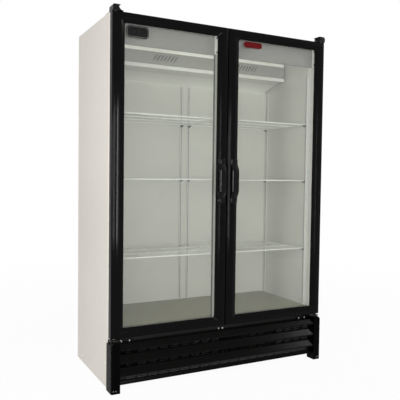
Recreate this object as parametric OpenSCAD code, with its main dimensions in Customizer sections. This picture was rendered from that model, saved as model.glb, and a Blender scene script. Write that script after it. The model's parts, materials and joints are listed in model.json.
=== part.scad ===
// Upright refrigerated display cabinet with two hinged glass doors.
// Millimetres. +Z is up and the doors face -Y. The origin lies on the ground,
// at the middle of the overall width and of the overall depth.

/* [Body] */
// Outer width of the cabinet body
body_w = 1376; // [1200:1:1600]
// Height of the roof sheet above the ground
body_h = 1992; // [1900:1:2200]
// Depth of the body from its front flanges to its back
body_d = 597; // [560:1:800]
// Thickness of the side walls and of the roof
wall_t = 52; // [46:1:70]
// Thickness of the rear wall
rear_wall_t = 77; // [50:1:100]
// Thickness of the insulated cabinet floor
floor_t = 60; // [50:1:70]
// Height of the cabinet floor above the ground
cabin_z = 330; // [322:1:345]
// Thickness of the painted outer sheets
skin_t = 1; // [0.8:0.1:1.5]
// Thickness of the inner liner sheets
liner_t = 0.8; // [0.6:0.1:1.2]
// Height of the lower edge of the side panels above the ground
side_gap = 10; // [6:1:30]
// Width of the plastic lip seen round the opening
trim_lip = 4; // [2:0.5:8]
// Depth of the plastic trim along the walls of the opening
trim_d = 44; // [30:1:60]
// Width of the flange that stiffens the rear edge of a side panel
rear_flange = 20; // [15:1:30]
// Bend radius of the painted panels
bend_r = 3; // [2:0.5:6]
// Joint between neighbouring foam panels
foam_gap = 0.2; // [0.1:0.1:0.5]
// Height of the black sill under the opening
sill_h = 90; // [80:1:92]

/* [Mullion] */
// Width of the white centre post between the doors
mullion_w = 120; // [110:1:160]
// Depth of the centre post
mullion_d = 31; // [24:1:36]
// Thickness of the face plate of the centre post
mullion_face = 1.2; // [1:0.1:2]
// Depth of the dark strip along each side of the centre post
mullion_trim_d = 20; // [12:1:22]
// Thickness of the dark strip
mullion_trim_t = 1.5; // [1:0.1:3]

/* [Doors] */
// Gap between the two doors
door_gap = 3; // [2:0.5:8]
// Thickness of a door
door_t = 45; // [42:1:60]
// Height of the underside of the doors above the ground
door_z = 287; // [284:1:292]
// Step from the top of the doors up to the roof
door_step = 2; // [2:0.5:6]
// Visible width of the upright members
stile_w = 68; // [60:1:80]
// Visible width of the horizontal members
rail_w = 54; // [48:1:70]
// Distance of the crease line from the outer edge
ridge_in = 22; // [18:1:24]
// Fall of the face from the crease to the rounded edge
edge_fall = 2.5; // [1:0.5:4]
// Radius of the rounded outer edge
edge_r = 8; // [4:1:10]
// Width of the slope that runs in to the glass
bevel_w = 23; // [14:1:24]
// Depth of that slope
bevel_d = 10; // [6:1:11]
// Depth of the glass behind the door front
pane_recess = 12; // [12:0.5:14]
// Thickness of each pane
pane_t = 4; // [3:0.5:5]
// Air gap between the two panes
pane_gap = 12; // [9:1:13]
// Depth to which the glass unit enters the frame
pane_hold = 28; // [22:1:30]
// Distance by which the rear of the frame stays back from its inner edge
rear_set = 20; // [14:1:21]
// Clearance round the glass unit in its groove
pane_clear = 0.2; // [0.1:0.1:0.5]

/* [Gasket] */
// Width of the magnetic gasket
gasket_w = 14; // [12:1:16]
// Thickness of the gasket between door and body
gasket_t = 9.7; // [8:0.1:12]
// Gap left between the gasket and the body
gasket_gap = 0.3; // [0.3:0.1:1]

/* [Handles] */
// Height of the lower end of the handles above the ground
handle_z = 995; // [800:1:1200]
// Length of a handle
handle_h = 255; // [220:1:320]
// Width of a handle
handle_w = 46; // [36:1:48]
// Distance of a handle from the meeting edge of its door
handle_in = 16.5; // [12:0.5:18]
// Distance from the door front to the front of the handle
handle_reach = 25; // [22:1:40]
// Thickness of the handle arch
handle_t = 7; // [5:0.5:9]
// Length of each handle foot
handle_foot = 48; // [36:1:60]
// Height over which the arch rises from a foot
handle_rise = 42; // [30:1:50]

/* [Hinges] */
// Distance of the hinge axis from the outer edge of the door
pivot_in = 18; // [18:0.5:20]
// Distance of the hinge axis behind the door front
pivot_back = 22; // [20:0.5:24]
// Diameter of the hinge pins
pin_d = 10; // [8:0.5:12]
// Length of a hinge pin inside the door
pin_l = 24; // [18:1:30]
// Thickness of the hinge plates
plate_t = 5; // [4:0.5:6]
// Distance of the lower hinge plate below the door
hinge_drop = 9; // [7:0.5:12]
// Width of a hinge plate over the door corner
plate_w = 56; // [48:1:64]
// Length of the lower bracket along the front of the body
bracket_l = 148; // [120:1:180]
// Height of the lower bracket
bracket_h = 33; // [28:1:36]
// Radial clearance between a pin and its bush
pin_clear = 0.05; // [0.02:0.01:0.1]
// Wall of the hinge bushes
bush_wall = 3; // [2:0.5:4]
// Thickness of the flange of a hinge bush
bush_flange = 1.6; // [1.2:0.1:1.7]
// Height of the moulded cap over the upper hinge
cap_h = 34; // [30:1:40]
// Depth of the moulded cap
cap_d = 60; // [58:1:70]
// Length of the upper hinge plate along the roof
top_plate_l = 136; // [110:1:180]

/* [Base] */
// Width of a corner post
post_w = 50; // [46:1:56]
// Distance by which a corner post stands wider than the body
post_proud = 2; // [1.8:0.1:4]
// Distance by which a corner post stands in front of the doors
post_front = 12; // [6:1:20]
// Depth of the lip that covers the edge of the side panel
post_wrap = 15; // [8:1:30]
// Wall of the corner post moulding
post_wall = 3; // [2.5:0.5:4]
// Chamfer at the outer top corner of a post
post_chamfer = 18; // [10:1:22]
// Radius of the outer front edge of a post
post_r = 10; // [4:1:16]
// Height of the lower edge of the front grille
grille_z = 37; // [30:1:60]
// Step from the top of the posts down to the top of the grille
grille_step = 15.7; // [8:0.1:20]
// Distance of the highest ridge below the top of the grille
ridge_drop = 27; // [22:1:40]
// Vertical distance between two ridges of the grille
ridge_pitch = 70; // [60:1:76]
// Depth of the V folds of the grille
fold_d = 24; // [16:1:30]
// Distance by which the ridges stand in front of the doors
ridge_out = 10; // [4:1:12]
// Thickness of the grille sheet
grille_t = 1.2; // [1:0.1:1.6]
// Length of an air slot
slot_l = 52; // [30:1:60]
// Height of an air slot
slot_w = 6; // [4:0.5:8]
// Distance between the middles of neighbouring slots
slot_pitch = 64; // [62:1:90]
// Height of the base pan above the ground
pan_z = 40; // [30:1:50]
// Thickness of the base pan sheet
pan_t = 1.5; // [1.2:0.1:2]
// Height of the turned-up edges of the base pan
pan_edge = 26; // [20:1:40]
// Diameter of the rear feet
foot_d = 52; // [40:1:60]

/* [Shelves] */
// Spacing of the slots in the shelf standards
slot_step = 12.7; // [12.5:0.1:12.9]
// Height of the lowest slot above the cabinet floor
first_slot = 14.6; // [14:0.1:20]
// Slot number under the lower shelves
low_slot = 27; // [20:1:34]
// Slot number under the middle shelves
middle_slot = 61; // [50:1:66]
// Slot number under the upper shelves
high_slot = 89; // [80:1:94]
// Width of a shelf standard
standard_w = 16; // [14:1:20]
// Depth of a shelf standard
standard_d = 8; // [7:0.5:8]
// Gap between a shelf and the side wall
shelf_side = 16; // [14:1:20]
// Distance of a shelf from the middle of the cabinet
shelf_mid = 15; // [12:1:17]
// Gap between a shelf and the rear wall
shelf_back = 20; // [16:1:22]
// Diameter of the shelf frame rods
rod_d = 6; // [5:0.5:8]
// Diameter of the thin shelf wires
wire_d = 3; // [2:0.5:4]
// Number of thin wires in a shelf
wires = 27; // [15:1:30]
// Length of a shelf clip
clip_l = 22; // [20:1:26]

/* [Cooling] */
// Distance of the evaporator cover behind the front of the body
evap_in = 285; // [240:1:300]
// Height of the evaporator cover
evap_h = 140; // [136:1:150]
// Height of the lip along the lower edge of the evaporator cover
evap_lip = 20; // [10:1:24]
// Gap between the evaporator cover and the right side wall
evap_side = 14; // [8:1:60]
// Gap between the evaporator cover and the left side wall
evap_left = 99; // [60:1:140]
// Distance of the evaporator fans from the middle of the evaporator cover
evap_fan_x = 287; // [240:1:340]
// Radius of the evaporator fan blades
evap_fan_r = 50; // [40:1:52]
// Number of slanting air slots in front of each evaporator fan
vent_slots = 7; // [5:1:8]
// Height of these slots
vent_h = 34; // [24:1:40]
// Fall of the drain pan from front to rear
pan_fall = 62; // [40:1:70]
// Radius of the condenser fan blades
cond_fan_r = 96; // [80:1:98]
// Width of the condenser coil
cond_w = 360; // [300:1:400]
// Height of the condenser coil
cond_h = 210; // [206:1:214]
// Depth of the condenser coil
cond_t = 45; // [30:1:60]
// Distance of the condenser coil behind the front of the body
cond_in = 25; // [15:1:60]
// Distance of the middle of the condenser from the left side of the body
cond_side = 348; // [220:1:380]
// Distance of the compressor from the right side of the body
comp_side = 438; // [400:1:500]
// Distance of the compressor behind the front of the body
comp_in = 300; // [260:1:340]
// Radius of the compressor shell
comp_r = 82; // [70:1:90]
// Height of the compressor shell
comp_h = 172; // [150:1:180]
// Width of the condensate tray
tray_w = 300; // [200:1:320]
// Depth of the condensate tray
tray_d = 170; // [120:1:180]
// Height of the condensate tray
tray_h = 50; // [30:1:60]
// Distance of the condensate tray from the rear of the body
tray_in = 30; // [20:1:40]
// Distance of the thermostat knob from the right side of the body
control_side = 178; // [120:1:200]
// Width of the control box
control_w = 180; // [140:1:200]
// Height of the control box
control_h = 150; // [130:1:180]

/* [Header] */
// Height of the header panels behind the doors
header_h = 112; // [90:1:114]
// Distance of the top of the header panels below the roof
header_drop = 42; // [40:1:48]
// Width of the white brackets at the ends of the header panels
header_end = 24; // [20:1:24]

/* [Hidden] */
$fn = 48;

// Planes of the body, from front to rear
overall_d = handle_reach + door_t + gasket_t + gasket_gap + body_d;
door_y = -overall_d / 2 + handle_reach;
shell_y = door_y + door_t + gasket_t + gasket_gap;
back_y = shell_y + body_d;
liner_y = back_y - rear_wall_t;
half_w = body_w / 2;
// The opening of the cabinet
open_x = half_w - wall_t;
open_top = body_h - wall_t;
flange_x = open_x + trim_lip;
foam_z = cabin_z - floor_t;
// One door, from its meeting edge to its outer edge
door_x0 = door_gap / 2;
door_top = body_h - door_step;
groove = pane_hold + 0.4;
unit_t = 2 * pane_t + pane_gap;
pivot_x = half_w - pivot_in;
pivot_y = door_y + pivot_back;
bush_r = pin_d / 2 + pin_clear + bush_wall;
// Base
bracket_z = door_z - hinge_drop;
post_h = bracket_z - plate_t - 0.3;
grille_top = post_h - grille_step;
pan_top = pan_z + pan_t;
grille_end = half_w + post_proud - post_w - 0.3;
grille_back = shell_y - plate_t - 0.5;
ridges = floor((grille_top - grille_z - ridge_drop - 40) / ridge_pitch) + 1;
// Shelves: a clip hooks into a slot and the frame rods lie on it
clip_h = 12;
rod_drop = rod_d / 2 + wire_d - 0.5;
clip_lift = clip_h / 2 + rod_d / 2 + rod_drop;
shelf_x1 = open_x - shelf_side;
shelf_y0 = shell_y + mullion_d + standard_d + 1;
shelf_y1 = liner_y - shelf_back;
standard_y0 = shell_y + mullion_d + standard_d + standard_w / 2;
standard_y1 = liner_y - 35;
standard_x = 27;
// Cooling
evap_y = shell_y + evap_in;
evap_z = open_top - evap_h;
sheet_t = 1.2;
evap_half = open_x - (evap_side + evap_left) / 2;
evap_mid = (evap_left - evap_side) / 2;
fan_z = open_top - 66;
cond_x = cond_side - half_w;
cond_y = shell_y + cond_in;
cond_z = pan_top + cond_h / 2;
comp_x = half_w - comp_side;
comp_y = shell_y + comp_in;
control_x = half_w - control_side;

function unit(v) = v / norm(v);
function reversed(p) = [for (i = [len(p) - 1 : -1 : 0]) p[i]];
function rect(x0, y0, x1, y1) = [[x0, y0], [x1, y0], [x1, y1], [x0, y1]];
// The same with its corners at x1 cut off
function cut_rect(x0, y0, x1, y1, c) =
    [[x0, y0], [x1 - c, y0], [x1, y0 + c], [x1, y1 - c], [x1 - c, y1], [x0, y1]];
function slot_z(i) = cabin_z + first_slot + i * slot_step;
function shelf_z(i) = slot_z(i) + clip_lift;
function ease(t) = let(s = min(max(t, 0), 1)) s * s * (3 - 2 * s);

// Points on an arc
function arc(cx, cy, r, a0, a1, n = 6) =
    [for (i = [0 : n]) let(a = a0 + (a1 - a0) * i / n) [cx + r * cos(a), cy + r * sin(a)]];

// A path with its inner corners rounded, each from a distance r before it to r after it
function soft(p, r, n = 4) = concat([p[0]], [
    for (i = [1 : len(p) - 2])
        let(a = p[i - 1] - p[i], b = p[i + 1] - p[i], l = min(r, norm(a) / 2.1, norm(b) / 2.1))
        for (k = [0 : n])
            let(t = k / n)
            p[i] + pow(1 - t, 2) * l * unit(a) + pow(t, 2) * l * unit(b)], [p[len(p) - 1]]);

// The outline of a sheet of thickness t, folded along a path and lying on its left
function side_of(p, i) = let(d = unit(p[i + 1] - p[i])) [-d[1], d[0]];
function shifted(p, t) = [
    for (i = [0 : len(p) - 1])
        let(a = side_of(p, max(i - 1, 0)), b = side_of(p, min(i, len(p) - 2)))
        p[i] + t * (a + b) / (1 + a * b)];
function sheet(p, t) = concat(p, reversed(shifted(p, t)));

// Extrusions of an outline along each axis: (x, y) along Z, (y, z) along X, (x, z) along Y
module along_z(p, z0, z1) translate([0, 0, z0]) linear_extrude(z1 - z0) polygon(p);
module along_x(p, x0, x1)
    translate([x0, 0, 0]) rotate([90, 0, 90]) linear_extrude(x1 - x0) polygon(p);
module along_y(p, y0, y1)
    translate([0, y1, 0]) rotate([90, 0, 0]) linear_extrude(y1 - y0) polygon(p);
module rod(a, b, d, sides = $fn) {
    v = b - a;
    translate(a) rotate([0, acos(v[2] / norm(v)), atan2(v[1], v[0])])
        cylinder(d = d, h = norm(v), $fn = sides);
}
module both() {
    children();
    mirror([1, 0, 0]) children();
}

// Outer shell

module side_panel() {
    path = [[flange_x, shell_y], [half_w, shell_y], [half_w, back_y],
        [half_w - rear_flange, back_y]];
    along_z(sheet(soft(path, bend_r), skin_t), side_gap, body_h);
}

module left_side_panel() color("gainsboro") mirror([1, 0, 0]) side_panel();

module right_side_panel() color("gainsboro") side_panel();

module rear_panel() color("silver")
    along_y(rect(rear_flange - half_w, foam_z, half_w - rear_flange, body_h),
        back_y - skin_t, back_y);

module roof_panel() color("gainsboro") union() {
    fold = [[shell_y, open_top + trim_lip], [shell_y, body_h], [back_y - skin_t, body_h]];
    along_x(sheet(fold, -skin_t), -flange_x, flange_x);
    both() along_z(cut_rect(flange_x, shell_y + skin_t, half_w - skin_t, back_y - skin_t,
        bend_r), body_h - skin_t, body_h);
}

module front_sill() color([0.12, 0.12, 0.13]) union() {
    along_x(rect(shell_y, cabin_z - sill_h, shell_y + skin_t, cabin_z), -flange_x, flange_x);
    along_x(rect(shell_y + skin_t, cabin_z - skin_t, shell_y + 20, cabin_z),
        -open_x - liner_t, open_x + liner_t);
}

// Foam panels: two sides over the full height, with the floor, the back and the top between them
module insulation() color("khaki") {
    x = open_x + liner_t;
    xg = x - foam_gap;
    y0 = shell_y + skin_t;
    y1 = back_y - skin_t;
    both() along_z(cut_rect(x, y0, half_w - skin_t, y1, bend_r), foam_z, body_h - skin_t);
    along_z(rect(-xg, y0, xg, y1), foam_z, cabin_z - skin_t);
    along_z(rect(-xg, liner_y + liner_t, xg, y1), cabin_z - skin_t + foam_gap,
        open_top + liner_t - foam_gap);
    along_z(rect(-xg, y0, xg, y1), open_top + liner_t, body_h - skin_t);
}

// Cabin

module liner_wrapper() color("whitesmoke") {
    x = open_x + liner_t;
    path = [[-x, cabin_z], [-x, open_top + liner_t], [x, open_top + liner_t], [x, cabin_z]];
    along_y(sheet(path, -liner_t), shell_y + trim_d, liner_y);
}

module back_liner() color("whitesmoke")
    both() along_y(rect(0.3, cabin_z, open_x + liner_t, open_top + liner_t),
        liner_y, liner_y + liner_t);

module floor_liner() color("darkkhaki")
    along_z(rect(-open_x - liner_t, shell_y + 20, open_x + liner_t, liner_y + liner_t),
        cabin_z - skin_t, cabin_z);

// Plastic strips that break the cold bridge round the opening
module jamb_trims() color("white") {
    y1 = shell_y + skin_t;
    both() union() {
        along_z(rect(open_x, shell_y, flange_x, y1), cabin_z, open_top);
        along_z(rect(open_x, y1, open_x + liner_t, shell_y + trim_d), cabin_z, open_top);
    }
    union() {
        along_x(rect(shell_y, open_top, y1, open_top + trim_lip), -flange_x, flange_x);
        along_x(rect(y1, open_top, shell_y + trim_d, open_top + liner_t),
            -open_x - liner_t, open_x + liner_t);
    }
}

module center_mullion() color("white") {
    x = mullion_w / 2;
    y = shell_y + mullion_face;
    core = x - mullion_trim_t;
    rear = core - 14;
    half = [[x, shell_y], [x, y], [core, y], [core, y + mullion_trim_d],
        [rear, shell_y + mullion_d]];
    along_z(concat(half, [for (p = reversed(half)) [-p[0], p[1]]]), cabin_z, open_top);
}

module mullion_trims() color("dimgray") {
    y = shell_y + mullion_face;
    both() along_z(rect(mullion_w / 2 - mullion_trim_t, y, mullion_w / 2, y + mullion_trim_d),
        cabin_z, open_top);
}

// Header: a folded panel behind the top of each door, held by a bracket at each end
header_z1 = body_h - header_drop;
header_z0 = header_z1 - header_h;
header_x0 = mullion_w / 2 + 8;
header_x1 = half_w - pivot_in - gasket_w - 4;
bracket_t = 1.2;

module header_panels() color("silver") both() {
    fold = [[shell_y, header_z1], [shell_y - 2, header_z1], [shell_y - 2, header_z0],
        [shell_y + 12, header_z0]];
    along_x(sheet(fold, bracket_t), header_x0, header_x1 - header_end);
}

module header_brackets() color("white") both() {
    for (x = [header_x0 - header_end, header_x1 - header_end])
        along_y(rect(x, header_z0 + 5, x + header_end, header_z1 - 2),
            shell_y - bracket_t, shell_y);
}

module lamp_battens() color("ivory") both()
    along_x([[shell_y + 11, open_top], [shell_y + 41, open_top],
        [shell_y + 36, open_top - 25], [shell_y + 16, open_top - 25]], header_x0 + 25, open_x - 30);

// Evaporator

module evaporator_cover() color("white") translate([evap_mid, 0, 0]) difference() {
    lip = evap_y - 5;
    lean = vent_h * 0.35;
    pitch = 2 * (evap_fan_r + 28) / vent_slots;
    union() {
        fold = [[evap_y + 25, open_top], [evap_y, open_top], [evap_y, evap_z + 13],
            [lip, evap_z + 8], [lip, evap_z + 8 - evap_lip], [evap_y + 1, evap_z + 8 - evap_lip]];
        along_x(sheet(fold, sheet_t), -evap_half, evap_half);
        both() along_x([[evap_y + sheet_t / 2, evap_z + 14], [liner_y, evap_z + 14 - pan_fall],
            [liner_y, open_top], [evap_y + sheet_t / 2, open_top]],
            evap_half - sheet_t, evap_half);
    }
    for (x = [-evap_fan_x, evap_fan_x], k = [1 : vent_slots])
        translate([x + (k - (vent_slots + 1) / 2) * pitch, 0, fan_z - 22])
            along_y([[-4 - lean, -vent_h / 2], [4 - lean, -vent_h / 2],
                [4 + lean, vent_h / 2], [lean - 4, vent_h / 2]], lip, evap_y + 6);
}

module evaporator_pan() color("lightgray") translate([evap_mid, 0, 0]) union() {
    y0 = evap_y + sheet_t + 0.3;
    y1 = liner_y - 0.3;
    z0 = evap_z + 3;
    z1 = z0 - pan_fall;
    fold = [[y0, z0 + 9], [y0, z0], [y1, z1], [y1, z1 + 25]];
    along_x(sheet(fold, sheet_t), 4 - evap_half, evap_half - 4);
    both() along_x([[y0 + 0.6, z0 + 9], [y0 + 0.6, z0 + 0.5], [y1 - 0.6, z1 + 0.5],
        [y1 - 0.6, z1 + 25]], evap_half - 4 - sheet_t, evap_half - 4);
}

// Finned block between two end plates, with the return bends of its tubes
module finned_coil(w, d, h, rows) union() {
    translate([-w / 2, 0, 0]) cube([w, d, h]);
    both() translate([w / 2 - 3, -2, 0]) cube([3, d + 4, h]);
    both() for (i = [0 : rows - 1])
        translate([w / 2 - 1, d / 2, h * (i + 0.5) / rows]) rotate([90, 0, 0])
            rotate([0, 0, -90]) rotate_extrude(angle = 180, $fn = 32)
                translate([h / rows / 4, 0]) circle(d = 7, $fn = 24);
}

module evaporator_coil() color("silver")
    translate([evap_mid, evap_y + 115, evap_z + 5]) finned_coil(evap_half * 2 - 110, 80, evap_h - 5, 5);

// Axial fan with a pushed-in shaft, turning about Y, with its front face at the origin
module fan(tip, hub, depth, shaft_d, shaft_l, blades) rotate([-90, 0, 0]) union() {
    cylinder(r = hub, h = depth);
    cylinder(d = shaft_d, h = depth + shaft_l);
    for (i = [0 : blades - 1]) rotate(i * 360 / blades) intersection() {
        translate([0, 0, depth / 2]) rotate([35, 0, 0])
            translate([hub * 0.7, -depth * 0.7, -0.8]) cube([tip, depth * 1.4, 1.6]);
        translate([0, 0, 1]) cylinder(r = tip, h = depth - 2);
    }
}

// Fan motor with a bored nose, turning about Y, with its front face at the origin
module motor(r, l, shaft_d, bore_l) rotate([-90, 0, 0]) difference() {
    union() {
        cylinder(r = r, h = l);
        translate([0, 0, l - 1]) cylinder(r1 = r * 0.8, r2 = r * 0.55, h = 9);
    }
    translate([0, 0, -1]) cylinder(d = shaft_d + 2 * pin_clear, h = bore_l + 1);
}

module evaporator_fan() translate([evap_fan_x, evap_y + 10, fan_z])
    fan(evap_fan_r, 14, 24, 6, 34, 5);

module evaporator_fan_left() color("dimgray")
    translate([evap_mid, 0, 0]) mirror([1, 0, 0]) evaporator_fan();

module evaporator_fan_right() color("dimgray") translate([evap_mid, 0, 0]) evaporator_fan();

module evaporator_motors() color("darkslategray") translate([evap_mid, 0, 0]) both()
    translate([evap_fan_x, evap_y, fan_z]) union() {
        translate([0, 50, 0]) motor(28, 42, 6, 22);
        leg = evap_fan_r + 10;
        for (a = [45 : 90 : 315]) rotate([0, a, 0]) {
            translate([leg, sheet_t, -5]) cube([5, 59 - sheet_t, 10]);
            translate([24, 55, -5]) cube([leg - 19, 4, 10]);
        }
    }

// Shelves

// Slotted channel standing on the XY plane, with its slots facing -Y
module standard(z0, z1) translate([0, 0, z0]) {
    count = floor((z1 - slot_z(0) - 8) / slot_step);
    translate([-standard_w / 2, sheet_t, 0]) rotate([90, 0, 0]) linear_extrude(sheet_t)
        difference() {
            square([standard_w, z1 - z0]);
            for (i = [0 : count])
                translate([standard_w / 2 - 1.7, slot_z(i) - z0 - 4.5]) square([3.4, 9]);
        }
    for (x = [-standard_w / 2, standard_w / 2 - sheet_t])
        translate([x, 0, 0]) cube([sheet_t, standard_d, z1 - z0]);
}

module shelf_standards() color("silver") {
    z0 = cabin_z + 6;
    z_front = evap_z - 10;
    z_rear = evap_z - pan_fall - 8;
    both() {
        translate([standard_x, liner_y - standard_d, 0]) union() standard(z0, z_rear);
        translate([standard_x, shell_y + mullion_d + standard_d, 0]) rotate(180)
            union() standard(z0, z_front);
        translate([open_x - standard_d, standard_y1, 0]) rotate(-90)
            union() standard(z0, z_rear);
        translate([open_x - standard_d, standard_y0, 0]) rotate(-90)
            union() standard(z0, z_front);
    }
}

// Clip with its hook through a slot at the origin, pointing along -Y
module clip() union() {
    profile = [[0, clip_h / 2], [-clip_l, clip_h / 2], [-clip_l, clip_h / 2 - 3],
        [-4, -clip_h / 2], [0, -clip_h / 2]];
    along_x(profile, -7, 7);
    along_x(rect(-1, -3.5, sheet_t, 3.5), -1.5, 1.5);
    along_x([[sheet_t, 3.5], [sheet_t + 2, 3.5], [sheet_t + 2, -6], [sheet_t, -6]], -1.5, 1.5);
}

module shelf_clips() color("darkgray") both() for (i = [low_slot, middle_slot, high_slot]) {
    z = slot_z(i);
    translate([standard_x, liner_y - standard_d, z]) clip();
    translate([standard_x, shell_y + mullion_d + standard_d, z]) rotate(180) clip();
    for (y = [standard_y0, standard_y1])
        translate([open_x - standard_d, y, z]) rotate(-90) clip();
}

// Wire shelf: a rod frame with two cross rods, and thin wires welded on top
module shelf(i) translate([0, 0, shelf_z(i) - rod_drop]) union() {
    x0 = shelf_mid + rod_d / 2;
    x1 = shelf_x1 - rod_d / 2;
    y0 = shelf_y0 + rod_d / 2;
    y1 = shelf_y1 - rod_d / 2;
    for (k = [0 : 3]) {
        y = y0 + (y1 - y0) * k / 3;
        rod([shelf_mid, y, 0], [shelf_x1, y, 0], rod_d);
    }
    for (x = [x0, x1]) rod([x, y0, 0], [x, y1, 0], rod_d - 0.4);
    lift = rod_drop - wire_d / 2;
    for (k = [1 : wires]) {
        x = x0 + (x1 - x0) * k / (wires + 1);
        rod([x, y0 - 2, lift], [x, y1 + 2, lift], wire_d, 8);
    }
}

module lower_left_shelf() color("white") mirror([1, 0, 0]) shelf(low_slot);

module middle_left_shelf() color("white") mirror([1, 0, 0]) shelf(middle_slot);

module upper_left_shelf() color("white") mirror([1, 0, 0]) shelf(high_slot);

module lower_right_shelf() color("white") shelf(low_slot);

module middle_right_shelf() color("white") shelf(middle_slot);

module upper_right_shelf() color("white") shelf(high_slot);

// Hinges

// Upper plate: a narrow nose over the door corner, and a wide foot on the roof
neck_x0 = pivot_x - 18;
neck_x1 = half_w - 3;
neck_y0 = pivot_y - 16;

module top_hinges() color("dimgray") both() union() {
    x0 = half_w - plate_w;
    y1 = neck_y0 + top_plate_l;
    y = door_y + cap_d + 3;
    outline = concat(arc(neck_x0 + 8, neck_y0 + 8, 8, 180, 270),
        arc(neck_x1 - 8, neck_y0 + 8, 8, -90, 0),
        [[neck_x1, y1 - 12], [neck_x1 - 12, y1], [x0 + 10, y1], [x0, y1 - 10], [x0, y + 12],
        [neck_x0, y]]);
    difference() {
        along_z(outline, body_h, body_h + plate_t);
        for (y = [y1 - 16, y1 - 46]) translate([half_w - plate_w / 2, y, body_h - 1])
            cylinder(d = 7, h = plate_t + 2);
    }
    translate([pivot_x, pivot_y, door_top - pin_l]) cylinder(d = pin_d, h = body_h - door_top + pin_l + 1);
}

// Cap profile: a rounded outer corner, a curled lip and a hollow sweep down to its foot
module hinge_caps() color("dimgray") both() difference() {
    x1 = half_w;
    z0 = door_top + 0.6;
    z1 = body_h + cap_h;
    y0 = door_y;
    y1 = y0 + cap_d;
    sweep = z1 - z0 - 10;
    front = concat([[x1 - 58, z0], [x1, z0]], arc(x1 - 15, z1 - 15, 15, 0, 90),
        [[x1 - 33, z1], [x1 - 39, z1 - 1.5], [x1 - 43, z1 - 5]],
        arc(x1 - 58, z0 + 2 + sweep, sweep, 5, -90, 8));
    side = concat([[y0, z0], [shell_y - 0.2, z0], [shell_y - 0.2, body_h], [y1, body_h]],
        arc(y1 - 6, z1 - 6, 6, 0, 90, 4), arc(y0 + 12, z1 - 12, 12, 90, 180));
    intersection() {
        along_y(front, y0, y1);
        along_x(side, x1 - 60, x1);
    }
    along_z(rect(neck_x0 - 0.2, neck_y0 - 0.2, neck_x1 + 0.2, y1 + 1),
        z0 - 1, body_h + plate_t + 0.2);
}

module bottom_hinges() color("dimgray") both() union() {
    x1 = half_w;
    y0 = pivot_y - 18;
    outline = concat([[x1 - plate_w, shell_y], [x1 - plate_w, y0 + 12], [x1 - plate_w + 12, y0],
        [x1 - 8, y0]], arc(x1 - 8, y0 + 8, 8, -90, 0), [[x1, shell_y]]);
    along_z(outline, bracket_z - plate_t, bracket_z);
    face = [[x1 - bracket_l, bracket_z - bracket_h], [x1, bracket_z - bracket_h], [x1, bracket_z],
        [x1 - bracket_l + 10, bracket_z], [x1 - bracket_l, bracket_z - 10]];
    difference() {
        along_y(face, shell_y - plate_t, shell_y);
        for (x = [75, 121]) translate([x1 - x, shell_y - plate_t - 1, bracket_z - 19])
            rotate([-90, 0, 0]) cylinder(d = 6, h = plate_t + 2);
    }
    translate([pivot_x, pivot_y, bracket_z - 1]) {
        cylinder(d = 20, h = hinge_drop + 1 - bush_flange - 0.3);
        cylinder(d = pin_d, h = hinge_drop + pin_l);
    }
}

// Base

// Outline of a post from the front, moved in by a wall
function post_front_shape(wall) = let(x0 = half_w + post_proud - post_w + wall,
    x1 = half_w + post_proud - wall, z1 = post_h - wall, c = post_chamfer - wall * 0.6)
    [[x0, wall], [x1, wall], [x1, z1 - c], [x1 - c, z1], [x0, z1]];

module post() {
    x0 = half_w + post_proud - post_w;
    x1 = half_w + post_proud;
    y0 = door_y - post_front;
    plan = concat([[x0, shell_y], [x0, y0], [x1 - post_r, y0]],
        arc(x1 - post_r, y0 + post_r, post_r, -90, 0),
        [[x1, shell_y + post_wrap], [half_w + 0.3, shell_y + post_wrap],
        [half_w + 0.3, shell_y]]);
    difference() {
        intersection() {
            along_z(plan, 0, post_h);
            along_y(post_front_shape(0), y0 - 1, shell_y + post_wrap + 1);
        }
        along_y(post_front_shape(post_wall), y0 + post_wall, shell_y + post_wrap - post_wall);
        along_z(rect(x0 - 1, shell_y - plate_t - 0.3, half_w + 0.3, shell_y + 1),
            bracket_z - bracket_h - 0.3, post_h + 1);
    }
}

module left_post() color([0.12, 0.12, 0.13]) mirror([1, 0, 0]) post();

module right_post() color([0.12, 0.12, 0.13]) post();

// Front grille: one sheet folded into V ridges, with rows of slots in the faces under the ridges
ridge_y = door_y - ridge_out;
valley_y = ridge_y + fold_d;
function ridge_z(i) = grille_top - ridge_drop - i * ridge_pitch;
slot_run = 2 * floor((grille_end - slot_l / 2 - 12) / slot_pitch);

module air_slot() {
    r = slot_w / 2;
    end = slot_l / 2 - r;
    linear_extrude(8, center = true)
        polygon(concat(arc(end, 0, r, -90, 90, 6), arc(-end, 0, r, 90, 270, 6)));
}

module front_grille() color([0.12, 0.12, 0.13]) difference() {
    folds = [for (i = [0 : ridges - 1])
        each [[ridge_y, ridge_z(i)], [valley_y, ridge_z(i) - ridge_pitch / 2]]];
    path = concat([[grille_back, grille_top], [valley_y - 4, grille_top]], folds,
        [[valley_y - 8, grille_z], [grille_back - 8, grille_z]]);
    along_x(sheet(soft(path, 3.5, 3), grille_t), -grille_end, grille_end);
    slope = atan2(ridge_pitch / 2, fold_d);
    for (i = [0 : ridges - 1], row = [-1, 1], k = [0 : slot_run])
        translate([(k - slot_run / 2) * slot_pitch, (ridge_y + valley_y) / 2,
            ridge_z(i) - ridge_pitch / 4])
            rotate([-slope, 0, 0]) translate([0, row * slot_w * 1.2, 0]) air_slot();
}

module base_pan() color("lightslategray") union() {
    y0 = shell_y + skin_t + bend_r;
    y1 = back_y - skin_t - bend_r;
    x = half_w - skin_t;
    path = [[y0, pan_z + pan_edge], [y0, pan_z], [y1, pan_z], [y1, pan_z + pan_edge]];
    along_x(sheet(path, pan_t), -x, x);
    both() along_x(rect(y0, pan_z, y1, pan_z + pan_edge), x - pan_t, x);
}

module rear_feet() color("black") both()
    translate([half_w - 88, back_y - 70, 0]) cylinder(d1 = foot_d, d2 = foot_d - 12, h = pan_z);

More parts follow.
